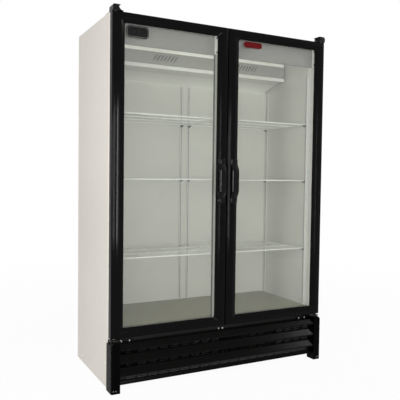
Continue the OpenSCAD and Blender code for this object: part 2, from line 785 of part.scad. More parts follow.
gland_x = half_w - 128;
gland_z = 120;

module rear_grille() color("silver")
    translate([0, back_y, 0]) rotate([90, 0, 0]) linear_extrude(skin_t) difference() {
        x = half_w - rear_flange;
        translate([-x, pan_top]) square([2 * x, foam_z - pan_top]);
        for (k = [-9 : 9], z = [pan_top + 50, pan_top + 134])
            translate([k * 46 - 4, z]) square([8, 64]);
        translate([gland_x, gland_z]) circle(d = 16);
    }

module cord_gland() color("black")
    translate([gland_x, back_y, gland_z]) rotate([90, 0, 0]) difference() {
        union() {
            cylinder(d = 15.8, h = 6);
            translate([0, 0, skin_t]) cylinder(d = 24, h = 7);
        }
        translate([0, 0, -1]) cylinder(d = 9, h = 12);
    }

// Condensing unit

module compressor() color([0.15, 0.15, 0.16])
    translate([comp_x, comp_y, pan_top]) union() {
        for (x = [-80, 80], y = [-55, 55]) translate([x, y, 0]) cylinder(d = 26, h = 11);
        translate([-98, -70, 10]) cube([196, 140, 4]);
        translate([0, 0, 13]) rotate_extrude() polygon(soft([[0, 0], [comp_r - 22, 0],
            [comp_r, 22], [comp_r, comp_h - 52], [comp_r - 22, comp_h - 12], [0, comp_h]], 16));
        translate([-30, -comp_r - 16, 50]) cube([60, 40, 60]);
    }

module condenser_coil() color("silver")
    translate([cond_x, cond_y, pan_top]) finned_coil(cond_w, cond_t, cond_h, 6);

module condenser_shroud() color("gray") difference() {
    y0 = cond_y + cond_t + 2;
    translate([cond_x - cond_w / 2, y0, pan_top]) cube([cond_w, 40, cond_h]);
    translate([cond_x - cond_w / 2 + sheet_t, y0 - 1, pan_top + sheet_t])
        cube([cond_w - 2 * sheet_t, 41 - sheet_t, cond_h - 2 * sheet_t]);
    translate([cond_x, y0, cond_z]) rotate([-90, 0, 0]) cylinder(r = cond_fan_r + 5, h = 50);
}

fan_y = cond_y + cond_t + 24;

module condenser_fan() color("dimgray")
    translate([cond_x, fan_y, cond_z]) fan(cond_fan_r, 30, 32, 8, 46, 5);

module condenser_motor() color("darkslategray") union() {
    translate([cond_x, fan_y + 50, cond_z]) motor(42, 70, 8, 30);
    translate([cond_x - 30, fan_y + 60, pan_top]) cube([60, 40, 3]);
    translate([cond_x - 30, fan_y + 70, pan_top]) cube([60, 4, cond_h / 2 - 38]);
}

module condensate_tray() color("black") difference() {
    x0 = cond_x - 120;
    y0 = back_y - tray_in - tray_d;
    translate([x0, y0, pan_top]) cube([tray_w, tray_d, tray_h]);
    translate([x0 + 2, y0 + 2, pan_top + 2]) cube([tray_w - 4, tray_d - 4, tray_h]);
}

// Copper lines with brazed elbows
module line(points, d) union() {
    for (i = [0 : len(points) - 2]) rod(points[i], points[i + 1], d);
    for (i = [1 : len(points) - 2]) translate(points[i]) sphere(d = d * 1.3);
}

module refrigerant_lines() color("chocolate") {
    x = comp_x - 45;
    z = pan_top + 13 + comp_h;
    line([[x, comp_y, z - 8], [x, comp_y, z + 11], [comp_x - 210, comp_y, z + 11],
        [comp_x - 210, comp_y, foam_z]], 9);
    side = comp_x - sqrt(comp_r * comp_r - 26.5 * 26.5) - 0.3;
    elbow = comp_x - 250;
    coil_end = cond_x + cond_w / 2 + 14;
    z1 = pan_top + 100;
    line([[side, comp_y + 30, z1], [elbow, comp_y + 30, z1],
        [elbow, cond_y + cond_t + 15, z1], [coil_end, cond_y + cond_t + 15, z1]], 7);
}

module control_box() color("gray") difference() {
    translate([control_x - control_w / 2, cond_y, pan_top]) cube([control_w, 90, control_h]);
    translate([control_x, cond_y - 1, pan_top + control_h - 50]) rotate([-90, 0, 0])
        cylinder(d = 6 + 2 * pin_clear, h = 13);
}

module thermostat_knob() color("black")
    translate([control_x, cond_y, pan_top + control_h - 50]) rotate([90, 0, 0]) union() {
        translate([0, 0, -10]) cylinder(d = 6, h = 12);
        translate([0, 0, 0.3]) cylinder(d = 36, h = 4);
        translate([0, 0, 4]) cylinder(d1 = 30, d2 = 27, h = 9);
        translate([-2.5, 2, 4]) cube([5, 12, 11]);
    }

// Doors

// Section of a frame member: distance in from the outer edge, distance back from the front
function face_line(w) = concat(arc(edge_r, edge_fall + edge_r, edge_r, 180, 270),
    [[ridge_in, 0], [w - bevel_w, 0], [w, bevel_d]]);
function member(w) = let(s0 = pane_recess, s1 = pane_recess + unit_t + 2 * pane_clear)
    concat([[0, door_t]], face_line(w),
        [[w, s0], [w - groove, s0], [w - groove, s1], [w - rear_set, s1],
        [w - rear_set, door_t]]);
function seal() = let(a = pivot_in, b = pivot_in + gasket_w, m = door_t + gasket_t)
    [[a, door_t], [b, door_t], [b, door_t + 2], [b - 2.5, door_t + 4], [b, door_t + 6],
    [b, m], [a, m], [a, door_t + 6], [a + 2.5, door_t + 4], [a, door_t + 2]];

// Mitred ring in a door: upright and horizontal sections, and the mitre line from the corner
module ring(upright, level, mitre) {
    x0 = door_x0;
    x1 = half_w;
    z0 = door_z;
    z1 = door_top;
    ll = [for (m = mitre) [x0 + m[0], z0 + m[1]]];
    lr = [for (m = mitre) [x1 - m[0], z0 + m[1]]];
    ul = [for (m = mitre) [x0 + m[0], z1 - m[1]]];
    ur = [for (m = mitre) [x1 - m[0], z1 - m[1]]];
    y0 = door_y - 1;
    y1 = door_y + door_t + gasket_t + 1;
    union() {
        intersection() {
            along_z([for (p = upright) [x0 + p[0], door_y + p[1]]], z0, z1);
            along_y(concat(ll, reversed(ul)), y0, y1);
        }
        intersection() {
            along_z([for (p = upright) [x1 - p[0], door_y + p[1]]], z0, z1);
            along_y(concat(lr, reversed(ur)), y0, y1);
        }
        intersection() {
            along_x([for (p = level) [door_y + p[1], z0 + p[0]]], x0, x1);
            along_y(concat(ll, reversed(lr)), y0, y1);
        }
        intersection() {
            along_x([for (p = level) [door_y + p[1], z1 - p[0]]], x0, x1);
            along_y(concat(ul, reversed(ur)), y0, y1);
        }
    }
}

module door_frame() difference() {
    flat = min(stile_w, rail_w) - bevel_w;
    ring(member(stile_w), member(rail_w), [[0, 0], [ridge_in, ridge_in],
        [stile_w - bevel_w, rail_w - bevel_w], [stile_w, rail_w]]);
    for (z = [door_z - 1, door_top - pin_l - 1]) translate([pivot_x, pivot_y, z])
        cylinder(r = bush_r + pin_clear, h = pin_l + 2);
}

module door_glass() {
    x0 = door_x0 + stile_w - pane_hold;
    x1 = half_w - stile_w + pane_hold;
    z0 = door_z + rail_w - pane_hold;
    z1 = door_top - rail_w + pane_hold;
    y = door_y + pane_recess + pane_clear;
    along_z(rect(x0, y, x1, y + pane_t), z0, z1);
    along_z(rect(x0, y + pane_t + pane_gap, x1, y + unit_t), z0, z1);
    difference() {
        along_z(rect(x0, y + pane_t + 0.1, x1, y + pane_t + pane_gap - 0.1), z0, z1);
        along_z(rect(x0 + 9, y, x1 - 9, y + unit_t), z0 + 9, z1 - 9);
    }
}

module door_gasket() ring(seal(), seal(), [[0, 0], [stile_w, stile_w]]);

// Handle: an arch that rises from two feet, cut underneath to the face of the stile
module door_handle() difference() {
    z1 = handle_z + handle_h;
    steps = 12;
    rise = [for (i = [0 : steps]) i / steps];
    low = handle_z + handle_foot;
    high = z1 - handle_foot;
    outer = function (t) -handle_t - (handle_reach - handle_t) * ease(t);
    inner = function (t) -(handle_reach - handle_t) * ease(t);
    section = concat(
        [[bevel_d + 2, handle_z], [-handle_t + 3, handle_z], [-handle_t, handle_z + 3]],
        [for (t = rise) [outer(t), low - 22 + handle_rise * t]],
        [for (t = reversed(rise)) [outer(t), high + 22 - handle_rise * t]],
        [[-handle_t, z1 - 3], [-handle_t + 3, z1], [bevel_d + 2, z1], [bevel_d + 2, high]],
        [for (t = rise) [inner(t), high - handle_rise * t]],
        [for (t = reversed(rise)) [inner(t), low + handle_rise * t]],
        [[bevel_d + 2, low]]);
    x0 = door_x0 + handle_in;
    x1 = x0 + handle_w;
    r = 9;
    intersection() {
        along_x([for (p = section) [door_y + p[0], p[1]]], x0, x1);
        along_y(concat(arc(x0 + r, handle_z + r, r, 180, 270), arc(x1 - r, handle_z + r, r, 270, 360),
            arc(x1 - r, z1 - r, r, 0, 90), arc(x0 + r, z1 - r, r, 90, 180)),
            door_y - handle_reach - 1, door_y + bevel_d + 3);
    }
    along_z([for (p = concat([[0, door_t]], face_line(stile_w), [[stile_w, door_t]]))
        [door_x0 + p[0], door_y + p[1]]], handle_z - 1, z1 + 1);
}

module door_bushes() for (top = [0, 1])
    translate([pivot_x, pivot_y, top ? door_top : door_z]) mirror([0, 0, top]) difference() {
        union() {
            cylinder(r = bush_r, h = pin_l + 0.8);
            translate([0, 0, -bush_flange]) cylinder(r = bush_r + 3, h = bush_flange);
        }
        translate([0, 0, -bush_flange - 1]) cylinder(d = pin_d + 2 * pin_clear, h = pin_l + 4);
    }

module left_door_frame() color([0.05, 0.05, 0.05]) mirror([1, 0, 0]) door_frame();

module left_door_glass() color([0.7, 0.85, 0.85, 0.35]) mirror([1, 0, 0]) door_glass();

module left_door_gasket() color("gray") mirror([1, 0, 0]) door_gasket();

module left_door_handle() color([0.08, 0.08, 0.08]) mirror([1, 0, 0]) door_handle();

module left_door_bushes() color("ivory") mirror([1, 0, 0]) door_bushes();

module right_door_frame() color([0.05, 0.05, 0.05]) door_frame();

module right_door_glass() color([0.7, 0.85, 0.85, 0.35]) door_glass();

module right_door_gasket() color("gray") door_gasket();

module right_door_handle() color([0.08, 0.08, 0.08]) door_handle();

module right_door_bushes() color("ivory") door_bushes();

left_side_panel();
right_side_panel();
rear_panel();
roof_panel();
front_sill();
insulation();
liner_wrapper();
back_liner();
floor_liner();
center_mullion();
mullion_trims();
jamb_trims();
header_panels();
header_brackets();
lamp_battens();
evaporator_cover();
evaporator_coil();
evaporator_pan();
evaporator_motors();
evaporator_fan_left();
evaporator_fan_right();
shelf_standards();
shelf_clips();
lower_left_shelf();
middle_left_shelf();
upper_left_shelf();
lower_right_shelf();
middle_right_shelf();
upper_right_shelf();
top_hinges();
hinge_caps();
bottom_hinges();
left_post();
right_post();
front_grille();
base_pan();
rear_feet();
rear_grille();
cord_gland();
compressor();
condenser_coil();
condenser_shroud();
condenser_motor();
condenser_fan();
condensate_tray();
refrigerant_lines();
control_box();
thermostat_knob();
left_door_frame();
left_door_glass();
left_door_gasket();
left_door_handle();
left_door_bushes();
right_door_frame();
right_door_glass();
right_door_gasket();
right_door_handle();
right_door_bushes();
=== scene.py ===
"""Two-door glass door cooler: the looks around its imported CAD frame.

Metres, +Z up, the doors face -Y. Each sub-assembly is a class that builds its
own meshes and dresses the CAD nodes that belong to it.
"""

import json
import logging
import math
from dataclasses import dataclass
from enum import Enum
from functools import cache, partial
from typing import Any, Callable, Iterable, Sequence

import bmesh
import bpy
from mathutils import Matrix, Vector

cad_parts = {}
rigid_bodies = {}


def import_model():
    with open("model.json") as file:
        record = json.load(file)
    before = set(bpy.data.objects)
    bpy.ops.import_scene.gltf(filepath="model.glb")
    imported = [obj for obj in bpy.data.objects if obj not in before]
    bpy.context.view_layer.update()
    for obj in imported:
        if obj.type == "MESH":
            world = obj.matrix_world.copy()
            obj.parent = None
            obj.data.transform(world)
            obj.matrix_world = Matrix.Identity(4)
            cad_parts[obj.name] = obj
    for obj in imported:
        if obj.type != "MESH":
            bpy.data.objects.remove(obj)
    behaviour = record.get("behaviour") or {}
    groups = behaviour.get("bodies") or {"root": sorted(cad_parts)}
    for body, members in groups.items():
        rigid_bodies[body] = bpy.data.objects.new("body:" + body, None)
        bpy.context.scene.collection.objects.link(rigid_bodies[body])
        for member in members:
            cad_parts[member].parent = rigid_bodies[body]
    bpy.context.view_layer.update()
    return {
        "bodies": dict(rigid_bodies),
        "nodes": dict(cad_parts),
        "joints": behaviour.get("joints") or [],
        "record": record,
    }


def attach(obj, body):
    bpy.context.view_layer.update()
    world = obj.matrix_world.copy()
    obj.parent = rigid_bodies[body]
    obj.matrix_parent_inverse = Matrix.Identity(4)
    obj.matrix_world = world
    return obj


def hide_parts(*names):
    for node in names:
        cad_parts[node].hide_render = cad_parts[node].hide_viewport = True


LOG = logging.getLogger("cooler")
Point = tuple[float, float]
Place = tuple[float, float, float]
Colour = tuple[float, float, float]
WHITE: Colour = (1.0, 1.0, 1.0)
DUST: Colour = (0.42, 0.40, 0.36)
SMEARED_TONE = 0.72


def linear(red: float, green: float, blue: float) -> Colour:
    """Turn a colour as seen on a screen into scene-linear values.

    Args:
        red: Red, 0 to 255.
        green: Green, 0 to 255.
        blue: Blue, 0 to 255.

    Returns:
        The three linear values, 0 to 1.
    """

    def one(value: float) -> float:
        """Linear value of one channel."""
        v = value / 255
        return v / 12.92 if v <= 0.04045 else ((v + 0.055) / 1.055) ** 2.4

    return one(red), one(green), one(blue)


# Shader graphs


class Graph:
    """A node tree with short ways to add and join nodes."""

    def __init__(self, tree: bpy.types.NodeTree) -> None:
        """Keep the tree that the nodes go into."""
        self.tree = tree

    @classmethod
    def of(cls, owner: Any) -> "Graph":
        """Empty the node tree of a material or of the surroundings.

        Args:
            owner: The material or the surroundings.

        Returns:
            The graph of its tree.
        """
        owner.use_nodes = True
        owner.node_tree.nodes.clear()
        return cls(owner.node_tree)

    def add(self, kind: str, feeds: dict[Any, Any] | None = None,
            **settings: Any) -> bpy.types.Node:
        """Add one node.

        Args:
            kind: Type name without its ShaderNode prefix.
            feeds: Input name or index, to a value or to a socket that feeds it.
            **settings: Properties of the node.

        Returns:
            The new node.
        """
        node = self.tree.nodes.new("ShaderNode" + kind)
        for key, value in settings.items():
            setattr(node, key, value)
        for key, value in (feeds or {}).items():
            entry = node.inputs[key]
            if isinstance(value, bpy.types.NodeSocket):
                self.tree.links.new(value, entry)
            else:
                entry.default_value = (*value, 1.0) if entry.type == "RGBA" else value
        return node

    def noise(self, vector: Any, scale: float, detail: float = 3.0, rough: float = 0.5) -> Any:
        """Noise value of a vector, with its scale in 1/m.

        Args:
            vector: Socket with the position.
            scale: Grain per metre.
            detail: Octaves.
            rough: How strongly the finer octaves show.

        Returns:
            The value socket.
        """
        return self.add("TexNoise", {"Vector": vector, "Scale": scale, "Detail": detail,
                                     "Roughness": rough}).outputs[0]

    def remap(self, value: Any, low: float, high: float, new_low: float = 0.0,
              new_high: float = 1.0) -> Any:
        """Map a value from one range to another, clamped.

        Args:
            value: Socket to map.
            low: Start of the old range.
            high: End of the old range.
            new_low: Start of the new range.
            new_high: End of the new range.

        Returns:
            The result socket.
        """
        return self.add("MapRange", {0: value, 1: low, 2: high, 3: new_low,
                                     4: new_high}).outputs[0]

    def maths(self, operation: str, first: Any, second: Any = 0.0) -> Any:
        """One Math node.

        Args:
            operation: Its operation.
            first: First operand.
            second: Second operand.

        Returns:
            The result socket.
        """
        return self.add("Math", {0: first, 1: second}, operation=operation).outputs[0]

    def mix(self, factor: Any, first: Any, second: Any) -> Any:
        """Blend two colours.

        Args:
            factor: Share of the second colour.
            first: First colour or socket.
            second: Second colour or socket.

        Returns:
            The colour socket.
        """
        return self.add("Mix", {0: factor, 6: first, 7: second}, data_type="RGBA").outputs[2]


class Effect(Enum):
    """Surface effects that several finishes share, each one a node group."""

    PAINT_SKIN = "Paint skin"
    MOULDED_GRAIN = "Moulded grain"
    ZINC_SPANGLE = "Zinc spangle"
    DRAWN_METAL = "Drawn metal"
    SETTLED_DUST = "Settled dust"
    RUBBED_EDGE = "Rubbed edge"
    SMEARS = "Smears"


class EffectLibrary:
    """Builds each effect's node group once and places it in materials."""

    def __init__(self) -> None:
        """Start with no group built."""
        self.groups: dict[Effect, bpy.types.NodeTree] = {}

    def place(self, graph: Graph, effect: Effect, **values: Any) -> bpy.types.Node:
        """Place an effect in a material.

        Args:
            graph: The material's graph.
            effect: Which effect.
            **values: Input values or sockets, by input name.

        Returns:
            The group node.
        """
        if effect not in self.groups:
            self.groups[effect] = self._build(effect)
        return graph.add("Group", values, node_tree=self.groups[effect])

    def _build(self, effect: Effect) -> bpy.types.NodeTree:
        """Build the node group of one effect."""
        makers: dict[Effect, tuple[Callable[..., dict[str, Any]], dict[str, float]]] = {
            Effect.PAINT_SKIN: (self._paint_skin, {"Peel": 1.0, "Ripple": 1.0, "Drift": 1.0}),
            Effect.MOULDED_GRAIN: (self._moulded_grain, {"Grain": 1.0, "Drift": 1.0}),
            Effect.ZINC_SPANGLE: (self._zinc_spangle, {"Size": 90.0}),
            Effect.DRAWN_METAL: (self._drawn_metal, {"Depth": 1.0}),
            Effect.SETTLED_DUST: (self._settled_dust, {"Amount": 1.0}),
            Effect.RUBBED_EDGE: (self._rubbed_edge, {"Amount": 1.0, "Width": 0.0015}),
            Effect.SMEARS: (self._smears, {"Amount": 1.0}),
        }
        maker, inputs = makers[effect]
        tree = bpy.data.node_groups.new(effect.value, "ShaderNodeTree")
        for name, value in inputs.items():
            socket = tree.interface.new_socket(name=name, in_out="INPUT",
                                               socket_type="NodeSocketFloat")
            socket.default_value = value
        graph = Graph(tree)
        entry = tree.nodes.new("NodeGroupInput")
        results = maker(graph, entry, graph.add("TexCoord").outputs["Object"])
        for name in results:
            tree.interface.new_socket(name=name, in_out="OUTPUT", socket_type="NodeSocketFloat")
        leave = tree.nodes.new("NodeGroupOutput")
        for name, socket in results.items():
            tree.links.new(socket, leave.inputs[name])
        return tree

    @staticmethod
    def _paint_skin(graph: Graph, entry: bpy.types.Node, place: Any) -> dict[str, Any]:
        """Sprayed enamel: fine peel, slow ripples of the sheet and a drifting tone."""
        peel = graph.maths("MULTIPLY", graph.noise(place, 420.0, 2.0), entry.outputs["Peel"])
        ripple = graph.maths("MULTIPLY", graph.noise(place, 3.2, 1.0), entry.outputs["Ripple"])
        drift = graph.maths("SUBTRACT", graph.noise(place, 5.5, 5.0, 0.6), 0.5)
        tone = graph.maths("MULTIPLY", drift, entry.outputs["Drift"])
        gloss = graph.maths("SUBTRACT", graph.noise(place, 24.0, 4.0, 0.65), 0.5)
        height = graph.maths("ADD", graph.maths("MULTIPLY", peel, 0.02), ripple)
        return {"Tone": graph.maths("ADD", tone, 0.5), "Gloss": gloss, "Height": height}

    @staticmethod
    def _moulded_grain(graph: Graph, entry: bpy.types.Node, place: Any) -> dict[str, Any]:
        """Moulded plastic or rubber: a leathery grain and faint flow marks."""
        cells = graph.add("TexVoronoi", {"Vector": place, "Scale": 780.0},
                          feature="SMOOTH_F1").outputs["Distance"]
        grain = graph.maths("MULTIPLY", cells, entry.outputs["Grain"])
        drift = graph.maths("SUBTRACT", graph.noise(place, 16.0, 4.0), 0.5)
        tone = graph.maths("ADD", graph.maths("MULTIPLY", drift, entry.outputs["Drift"]), 0.5)
        gloss = graph.maths("SUBTRACT", graph.noise(place, 60.0, 3.0), 0.5)
        return {"Tone": tone, "Gloss": gloss, "Height": grain}

    @staticmethod
    def _zinc_spangle(graph: Graph, entry: bpy.types.Node, place: Any) -> dict[str, Any]:
        """Hot-dip zinc: flat crystals, each with its own shade."""
        cells = graph.add("TexVoronoi", {"Vector": place, "Scale": entry.outputs["Size"]})
        shade = graph.add("SeparateColor", {0: cells.outputs["Color"]}).outputs[0]
        veil = graph.noise(place, 9.0, 4.0)
        tone = graph.maths("MULTIPLY", graph.maths("ADD", shade, veil), 0.5)
        gloss = graph.maths("SUBTRACT", shade, 0.5)
        return {"Tone": tone, "Gloss": gloss, "Height": graph.maths("MULTIPLY", shade, 0.05)}

    @staticmethod
    def _drawn_metal(graph: Graph, entry: bpy.types.Node, place: Any) -> dict[str, Any]:
        """Rolled or drawn metal: long fine lines and a cloudy bloom."""
        stretched = graph.add("Mapping", {"Vector": place,
                                          "Scale": (14.0, 900.0, 900.0)}).outputs[0]
        lines = graph.noise(stretched, 1.0, 2.0)
        bloom = graph.noise(place, 11.0, 4.0, 0.6)
        tone = graph.maths("MULTIPLY", graph.maths("ADD", lines, bloom), 0.5)
        gloss = graph.maths("SUBTRACT", lines, 0.5)
        return {"Tone": tone, "Gloss": gloss,
                "Height": graph.maths("MULTIPLY", lines, entry.outputs["Depth"])}

    @staticmethod
    def _settled_dust(graph: Graph, entry: bpy.types.Node, place: Any) -> dict[str, Any]:
        """Dust that lies on faces that look up, in patches."""
        normal = graph.add("NewGeometry").outputs["Normal"]
        up = graph.add("SeparateXYZ", {0: normal}).outputs[2]
        lie = graph.remap(up, 0.35, 0.95)
        patch = graph.remap(graph.noise(place, 18.0, 6.0, 0.7), 0.35, 0.7, 0.2, 1.0)
        speck = graph.remap(graph.noise(place, 600.0, 2.0), 0.4, 0.62, 0.4, 1.0)
        mask = graph.maths("MULTIPLY", graph.maths("MULTIPLY", lie, patch), speck)
        return {"Mask": graph.maths("MULTIPLY", mask, entry.outputs["Amount"])}

    @staticmethod
    def _rubbed_edge(graph: Graph, entry: bpy.types.Node, place: Any) -> dict[str, Any]:
        """Finish rubbed thin along the edges, broken up by noise."""
        rounded = graph.add("Bevel", {"Radius": entry.outputs["Width"]}, samples=4).outputs[0]
        flat = graph.add("NewGeometry").outputs["Normal"]
        along = graph.add("VectorMath", {0: rounded, 1: flat},
                          operation="DOT_PRODUCT").outputs["Value"]
        edge = graph.remap(along, 0.93, 0.999, 1.0, 0.0)
        broken = graph.remap(graph.noise(place, 85.0, 5.0, 0.7), 0.42, 0.6)
        return {"Mask": graph.maths("MULTIPLY", graph.maths("MULTIPLY", edge, broken),
                                    entry.outputs["Amount"])}

    @staticmethod
    def _smears(graph: Graph, entry: bpy.types.Node, place: Any) -> dict[str, Any]:
        """Faint wiped smears and marks on an enamelled wall or a pane."""
        swept = graph.add("Mapping", {"Vector": place, "Rotation": (0.3, 0.5, 0.4),
                                      "Scale": (3.0, 3.0, 9.0)}).outputs[0]
        wide = graph.remap(graph.noise(swept, 1.3, 5.0, 0.62), 0.52, 0.8)
        spots = graph.remap(graph.noise(place, 8.0, 3.0, 0.55), 0.6, 0.78)
        mask = graph.maths("MAXIMUM", wide, spots)
        return {"Mask": graph.maths("MULTIPLY", mask, entry.outputs["Amount"])}


EFFECTS = EffectLibrary()


# Finishes


@dataclass(frozen=True)
class Zone:
    """A zone of a finish painted lighter beyond a plane of the part: painted light.

    Attributes:
        axis: Axis across the plane, 0 to 2.
        start: Coordinate at which the zone begins, in metres.
        full: Coordinate from which it has its full tone.
        colour: Linear colour of the zone.
    """

    axis: int
    start: float
    full: float
    colour: Colour


@dataclass(frozen=True)
class SlotRows:
    """Painted shade round the slots of the shelf standards: dark patches a little wider than the
    slots.

    Attributes:
        first: Height of the middle of one slot, in metres.
        pitch: Spacing of the slots.
        half: Half height and half width of the dark patch.
        inner: Distance of the inner standards from the cabinet's middle.
        outer: Depth midway between the two outer standards, and half their distance.
        fade: Width over which a patch fades.
        share: Strength of the painted shade.
        colour: Linear colour of the painted shade.
    """

    first: float = 0.3446
    pitch: float = 0.0127
    half: Point = (0.0047, 0.0034)
    inner: float = 0.027
    outer: Point = (0.0075, 0.219)
    fade: float = 0.0006
    share: float = 0.9
    colour: Colour = (0.012, 0.012, 0.011)

    def mask(self, graph: Graph) -> Any:
        """Add the nodes of the mask.

        Args:
            graph: The material's graph.

        Returns:
            The value socket, the share of painted shade.
        """
        place = graph.add("SeparateXYZ", {0: graph.add("TexCoord").outputs["Object"]}).outputs

        def beside(value: Any, middle: float, offset: float) -> Any:
            """Distance from the two lines at an offset from the middle."""
            away = graph.maths("ABSOLUTE", graph.maths("SUBTRACT", value, middle))
            return graph.maths("ABSOLUTE", graph.maths("SUBTRACT", away, offset))

        up = graph.maths("PINGPONG", graph.maths("SUBTRACT", place[2], self.first),
                         self.pitch / 2)
        across = graph.maths("MINIMUM", beside(place[0], 0.0, self.inner),
                             beside(place[1], *self.outer))
        low, wide = (graph.remap(value, half - self.fade, half, 1.0, 0.0)
                     for value, half in zip((up, across), self.half))
        return graph.maths("MULTIPLY", graph.maths("MULTIPLY", low, wide), self.share)


@dataclass(frozen=True)
class Finish:
    """A finish made from one base effect, with optional dust, smears and rubbed edges, and optional
    painted light and painted shade.

    Attributes:
        name: Plain name of the finish.
        colour: Linear base colour.
        base: Effect that gives tone, gloss and relief.
        values: Inputs of that effect.
        roughness: Mean roughness.
        gloss_swing: How far roughness moves with the effect.
        tone_swing: How far the colour moves with the effect.
        relief: Height of the relief, in metres.
        metallic: Share of metal.
        specular: Specular level, 0.5 for common plastics and paints.
        coat: Clear coat weight.
        coat_roughness: Roughness of the coat.
        dust: Amount of dust on faces that look up.
        smears: Amount of wiped smears.
        rubbed: Amount of edge rubbing.
        bare: Colour under the finish, where it is rubbed.
        zones: Zones painted lighter, as painted light.
        slots: Painted shade round rows of slots.
    """

    name: str
    colour: Colour
    base: Effect
    values: tuple[tuple[str, float], ...] = ()
    roughness: float = 0.4
    gloss_swing: float = 0.12
    tone_swing: float = 0.12
    relief: float = 0.00004
    metallic: float = 0.0
    specular: float = 0.5
    coat: float = 0.0
    coat_roughness: float = 0.08
    dust: float = 0.0
    smears: float = 0.0
    rubbed: float = 0.0
    bare: Colour = (0.3, 0.3, 0.29)
    zones: tuple[Zone, ...] = ()
    slots: SlotRows | None = None

    @cache
    def material(self) -> bpy.types.Material:
        """Build the material at the first call.

        Returns:
            The Blender material of this finish.
        """
        made = bpy.data.materials.new(self.name)
        graph = Graph.of(made)
        skin = EFFECTS.place(graph, self.base, **dict(self.values)).outputs
        colour = graph.mix(skin["Tone"], tuple(c * (1 - self.tone_swing) for c in self.colour),
                           tuple(min(1.0, c * (1 + self.tone_swing)) for c in self.colour))
        # Painted light: zones painted lighter beyond a plane of the part
        for zone in self.zones:
            place = graph.add("SeparateXYZ", {0: graph.add("TexCoord").outputs["Object"]})
            colour = graph.mix(graph.remap(place.outputs[zone.axis], zone.start, zone.full),
                               colour, zone.colour)
        # Painted shade round the slots of the shelf standards
        if self.slots:
            colour = graph.mix(self.slots.mask(graph), colour, self.slots.colour)
        rough = graph.maths("ADD", graph.maths("MULTIPLY", skin["Gloss"], self.gloss_swing * 2),
                            self.roughness)
        for effect, amount, toward, duller in (
                (Effect.SMEARS, self.smears, tuple(c * SMEARED_TONE for c in self.colour), 0.15),
                (Effect.RUBBED_EDGE, self.rubbed, self.bare, 0.2),
                (Effect.SETTLED_DUST, self.dust, DUST, 0.35)):
            if amount:
                mask = EFFECTS.place(graph, effect, Amount=amount).outputs["Mask"]
                colour = graph.mix(mask, colour, toward)
                rough = graph.maths("ADD", rough, graph.maths("MULTIPLY", mask, duller))
        bump = graph.add("Bump", {"Height": skin["Height"], "Distance": self.relief,
                                  "Strength": 1.0}).outputs[0]
        shader = graph.add("BsdfPrincipled", {
            "Base Color": colour, "Roughness": graph.remap(rough, 0.03, 1.0, 0.03, 1.0),
            "Normal": bump, "Metallic": self.metallic, "Specular IOR Level": self.specular,
            "Coat Weight": self.coat, "Coat Roughness": self.coat_roughness})
        graph.add("OutputMaterial", {"Surface": shader.outputs[0]})
        return made


@dataclass(frozen=True)
class PaneGlass:
    """Clear float glass that lets lamps light what stands behind it.

    Attributes:
        name: Plain name of the finish.
        tint: Colour of the glass.
        ior: Index of refraction.
        level: Specular level, low because the panes are coated.
    """

    name: str = "float glass"
    tint: Colour = (0.984, 0.988, 0.985)
    ior: float = 1.45
    level: float = 0.02

    @cache
    def material(self) -> bpy.types.Material:
        """Build the material at the first call.

        Returns:
            The Blender material of the glass.
        """
        made = bpy.data.materials.new(self.name)
        graph = Graph.of(made)
        smear = EFFECTS.place(graph, Effect.SMEARS, Amount=1.0).outputs["Mask"]
        tint = graph.mix(graph.maths("MULTIPLY", smear, 0.35), self.tint,
                         tuple(c * 0.97 for c in self.tint))
        shader = graph.add("BsdfPrincipled", {
            "Base Color": tint, "Roughness": graph.remap(smear, 0.0, 1.0, 0.0, 0.012),
            "Metallic": 0.0, "IOR": self.ior, "Transmission Weight": 1.0,
            "Specular IOR Level": self.level})
        clear = graph.add("BsdfTransparent", {"Color": self.tint})
        path = graph.add("LightPath").outputs
        through = graph.maths("MAXIMUM", path["Is Shadow Ray"], path["Is Diffuse Ray"])
        both = graph.add("MixShader", {0: through, 1: shader.outputs[0], 2: clear.outputs[0]})
        graph.add("OutputMaterial", {"Surface": both.outputs[0]})
        return made


# Sprayed enamel, moulded plastic or rubber, zinc-coated sheet, rolled or drawn metal
paint = partial(Finish, base=Effect.PAINT_SKIN)
moulding = partial(Finish, base=Effect.MOULDED_GRAIN)
zinc = partial(Finish, base=Effect.ZINC_SPANGLE)
metal = partial(Finish, base=Effect.DRAWN_METAL, relief=0.00001)

BODY_WHITE = paint("body enamel", linear(217, 211, 202), roughness=0.38, tone_swing=0.03,
                   relief=0.0006, values=(("Peel", 0.6), ("Ripple", 1.0), ("Drift", 1.0)),
                   smears=0.05, dust=0.06)
BRACKET_WHITE = paint("bracket enamel", linear(208, 209, 200), roughness=0.36, tone_swing=0.03,
                      smears=0.1)
LINER_WHITE = paint("liner enamel", linear(183, 184, 172), roughness=0.42, tone_swing=0.035,
                    relief=0.0004, smears=0.3)
# Painted light: the cover is lighter above 1.885 m along its top band and below 1.81 m at its lower
# lip
COVER_WHITE = paint("cover enamel", linear(140, 141, 130), roughness=0.36, tone_swing=0.03,
                    smears=0.12, zones=(Zone(2, 1.8835, 1.8865, linear(244, 245, 234)),
                                        Zone(2, 1.8108, 1.8096, linear(216, 217, 206))))
FLOOR_OLIVE = paint("floor plate", linear(113, 112, 73), roughness=0.5, tone_swing=0.07,
                    values=(("Peel", 1.0), ("Ripple", 0.6), ("Drift", 1.2)), specular=0.12,
                    smears=0.35)
HEADER_GREY = paint("header enamel", linear(103, 103, 95), roughness=0.45, tone_swing=0.05,
                    smears=0.1)
SHELF_COAT = paint("shelf coating", linear(212, 214, 204), roughness=0.28, tone_swing=0.04,
                   coat=0.2)
GRILLE_BLACK = paint("grille enamel", (0.0009, 0.0009, 0.0008), roughness=0.2, gloss_swing=0.06,
                     tone_swing=0.2, specular=0.045, relief=0.0002, rubbed=0.2,
                     bare=(0.04, 0.04, 0.038), dust=0.008)
SILL_BLACK = paint("sill enamel", (0.01, 0.011, 0.0095), roughness=0.35, specular=0.18,
                   tone_swing=0.15)
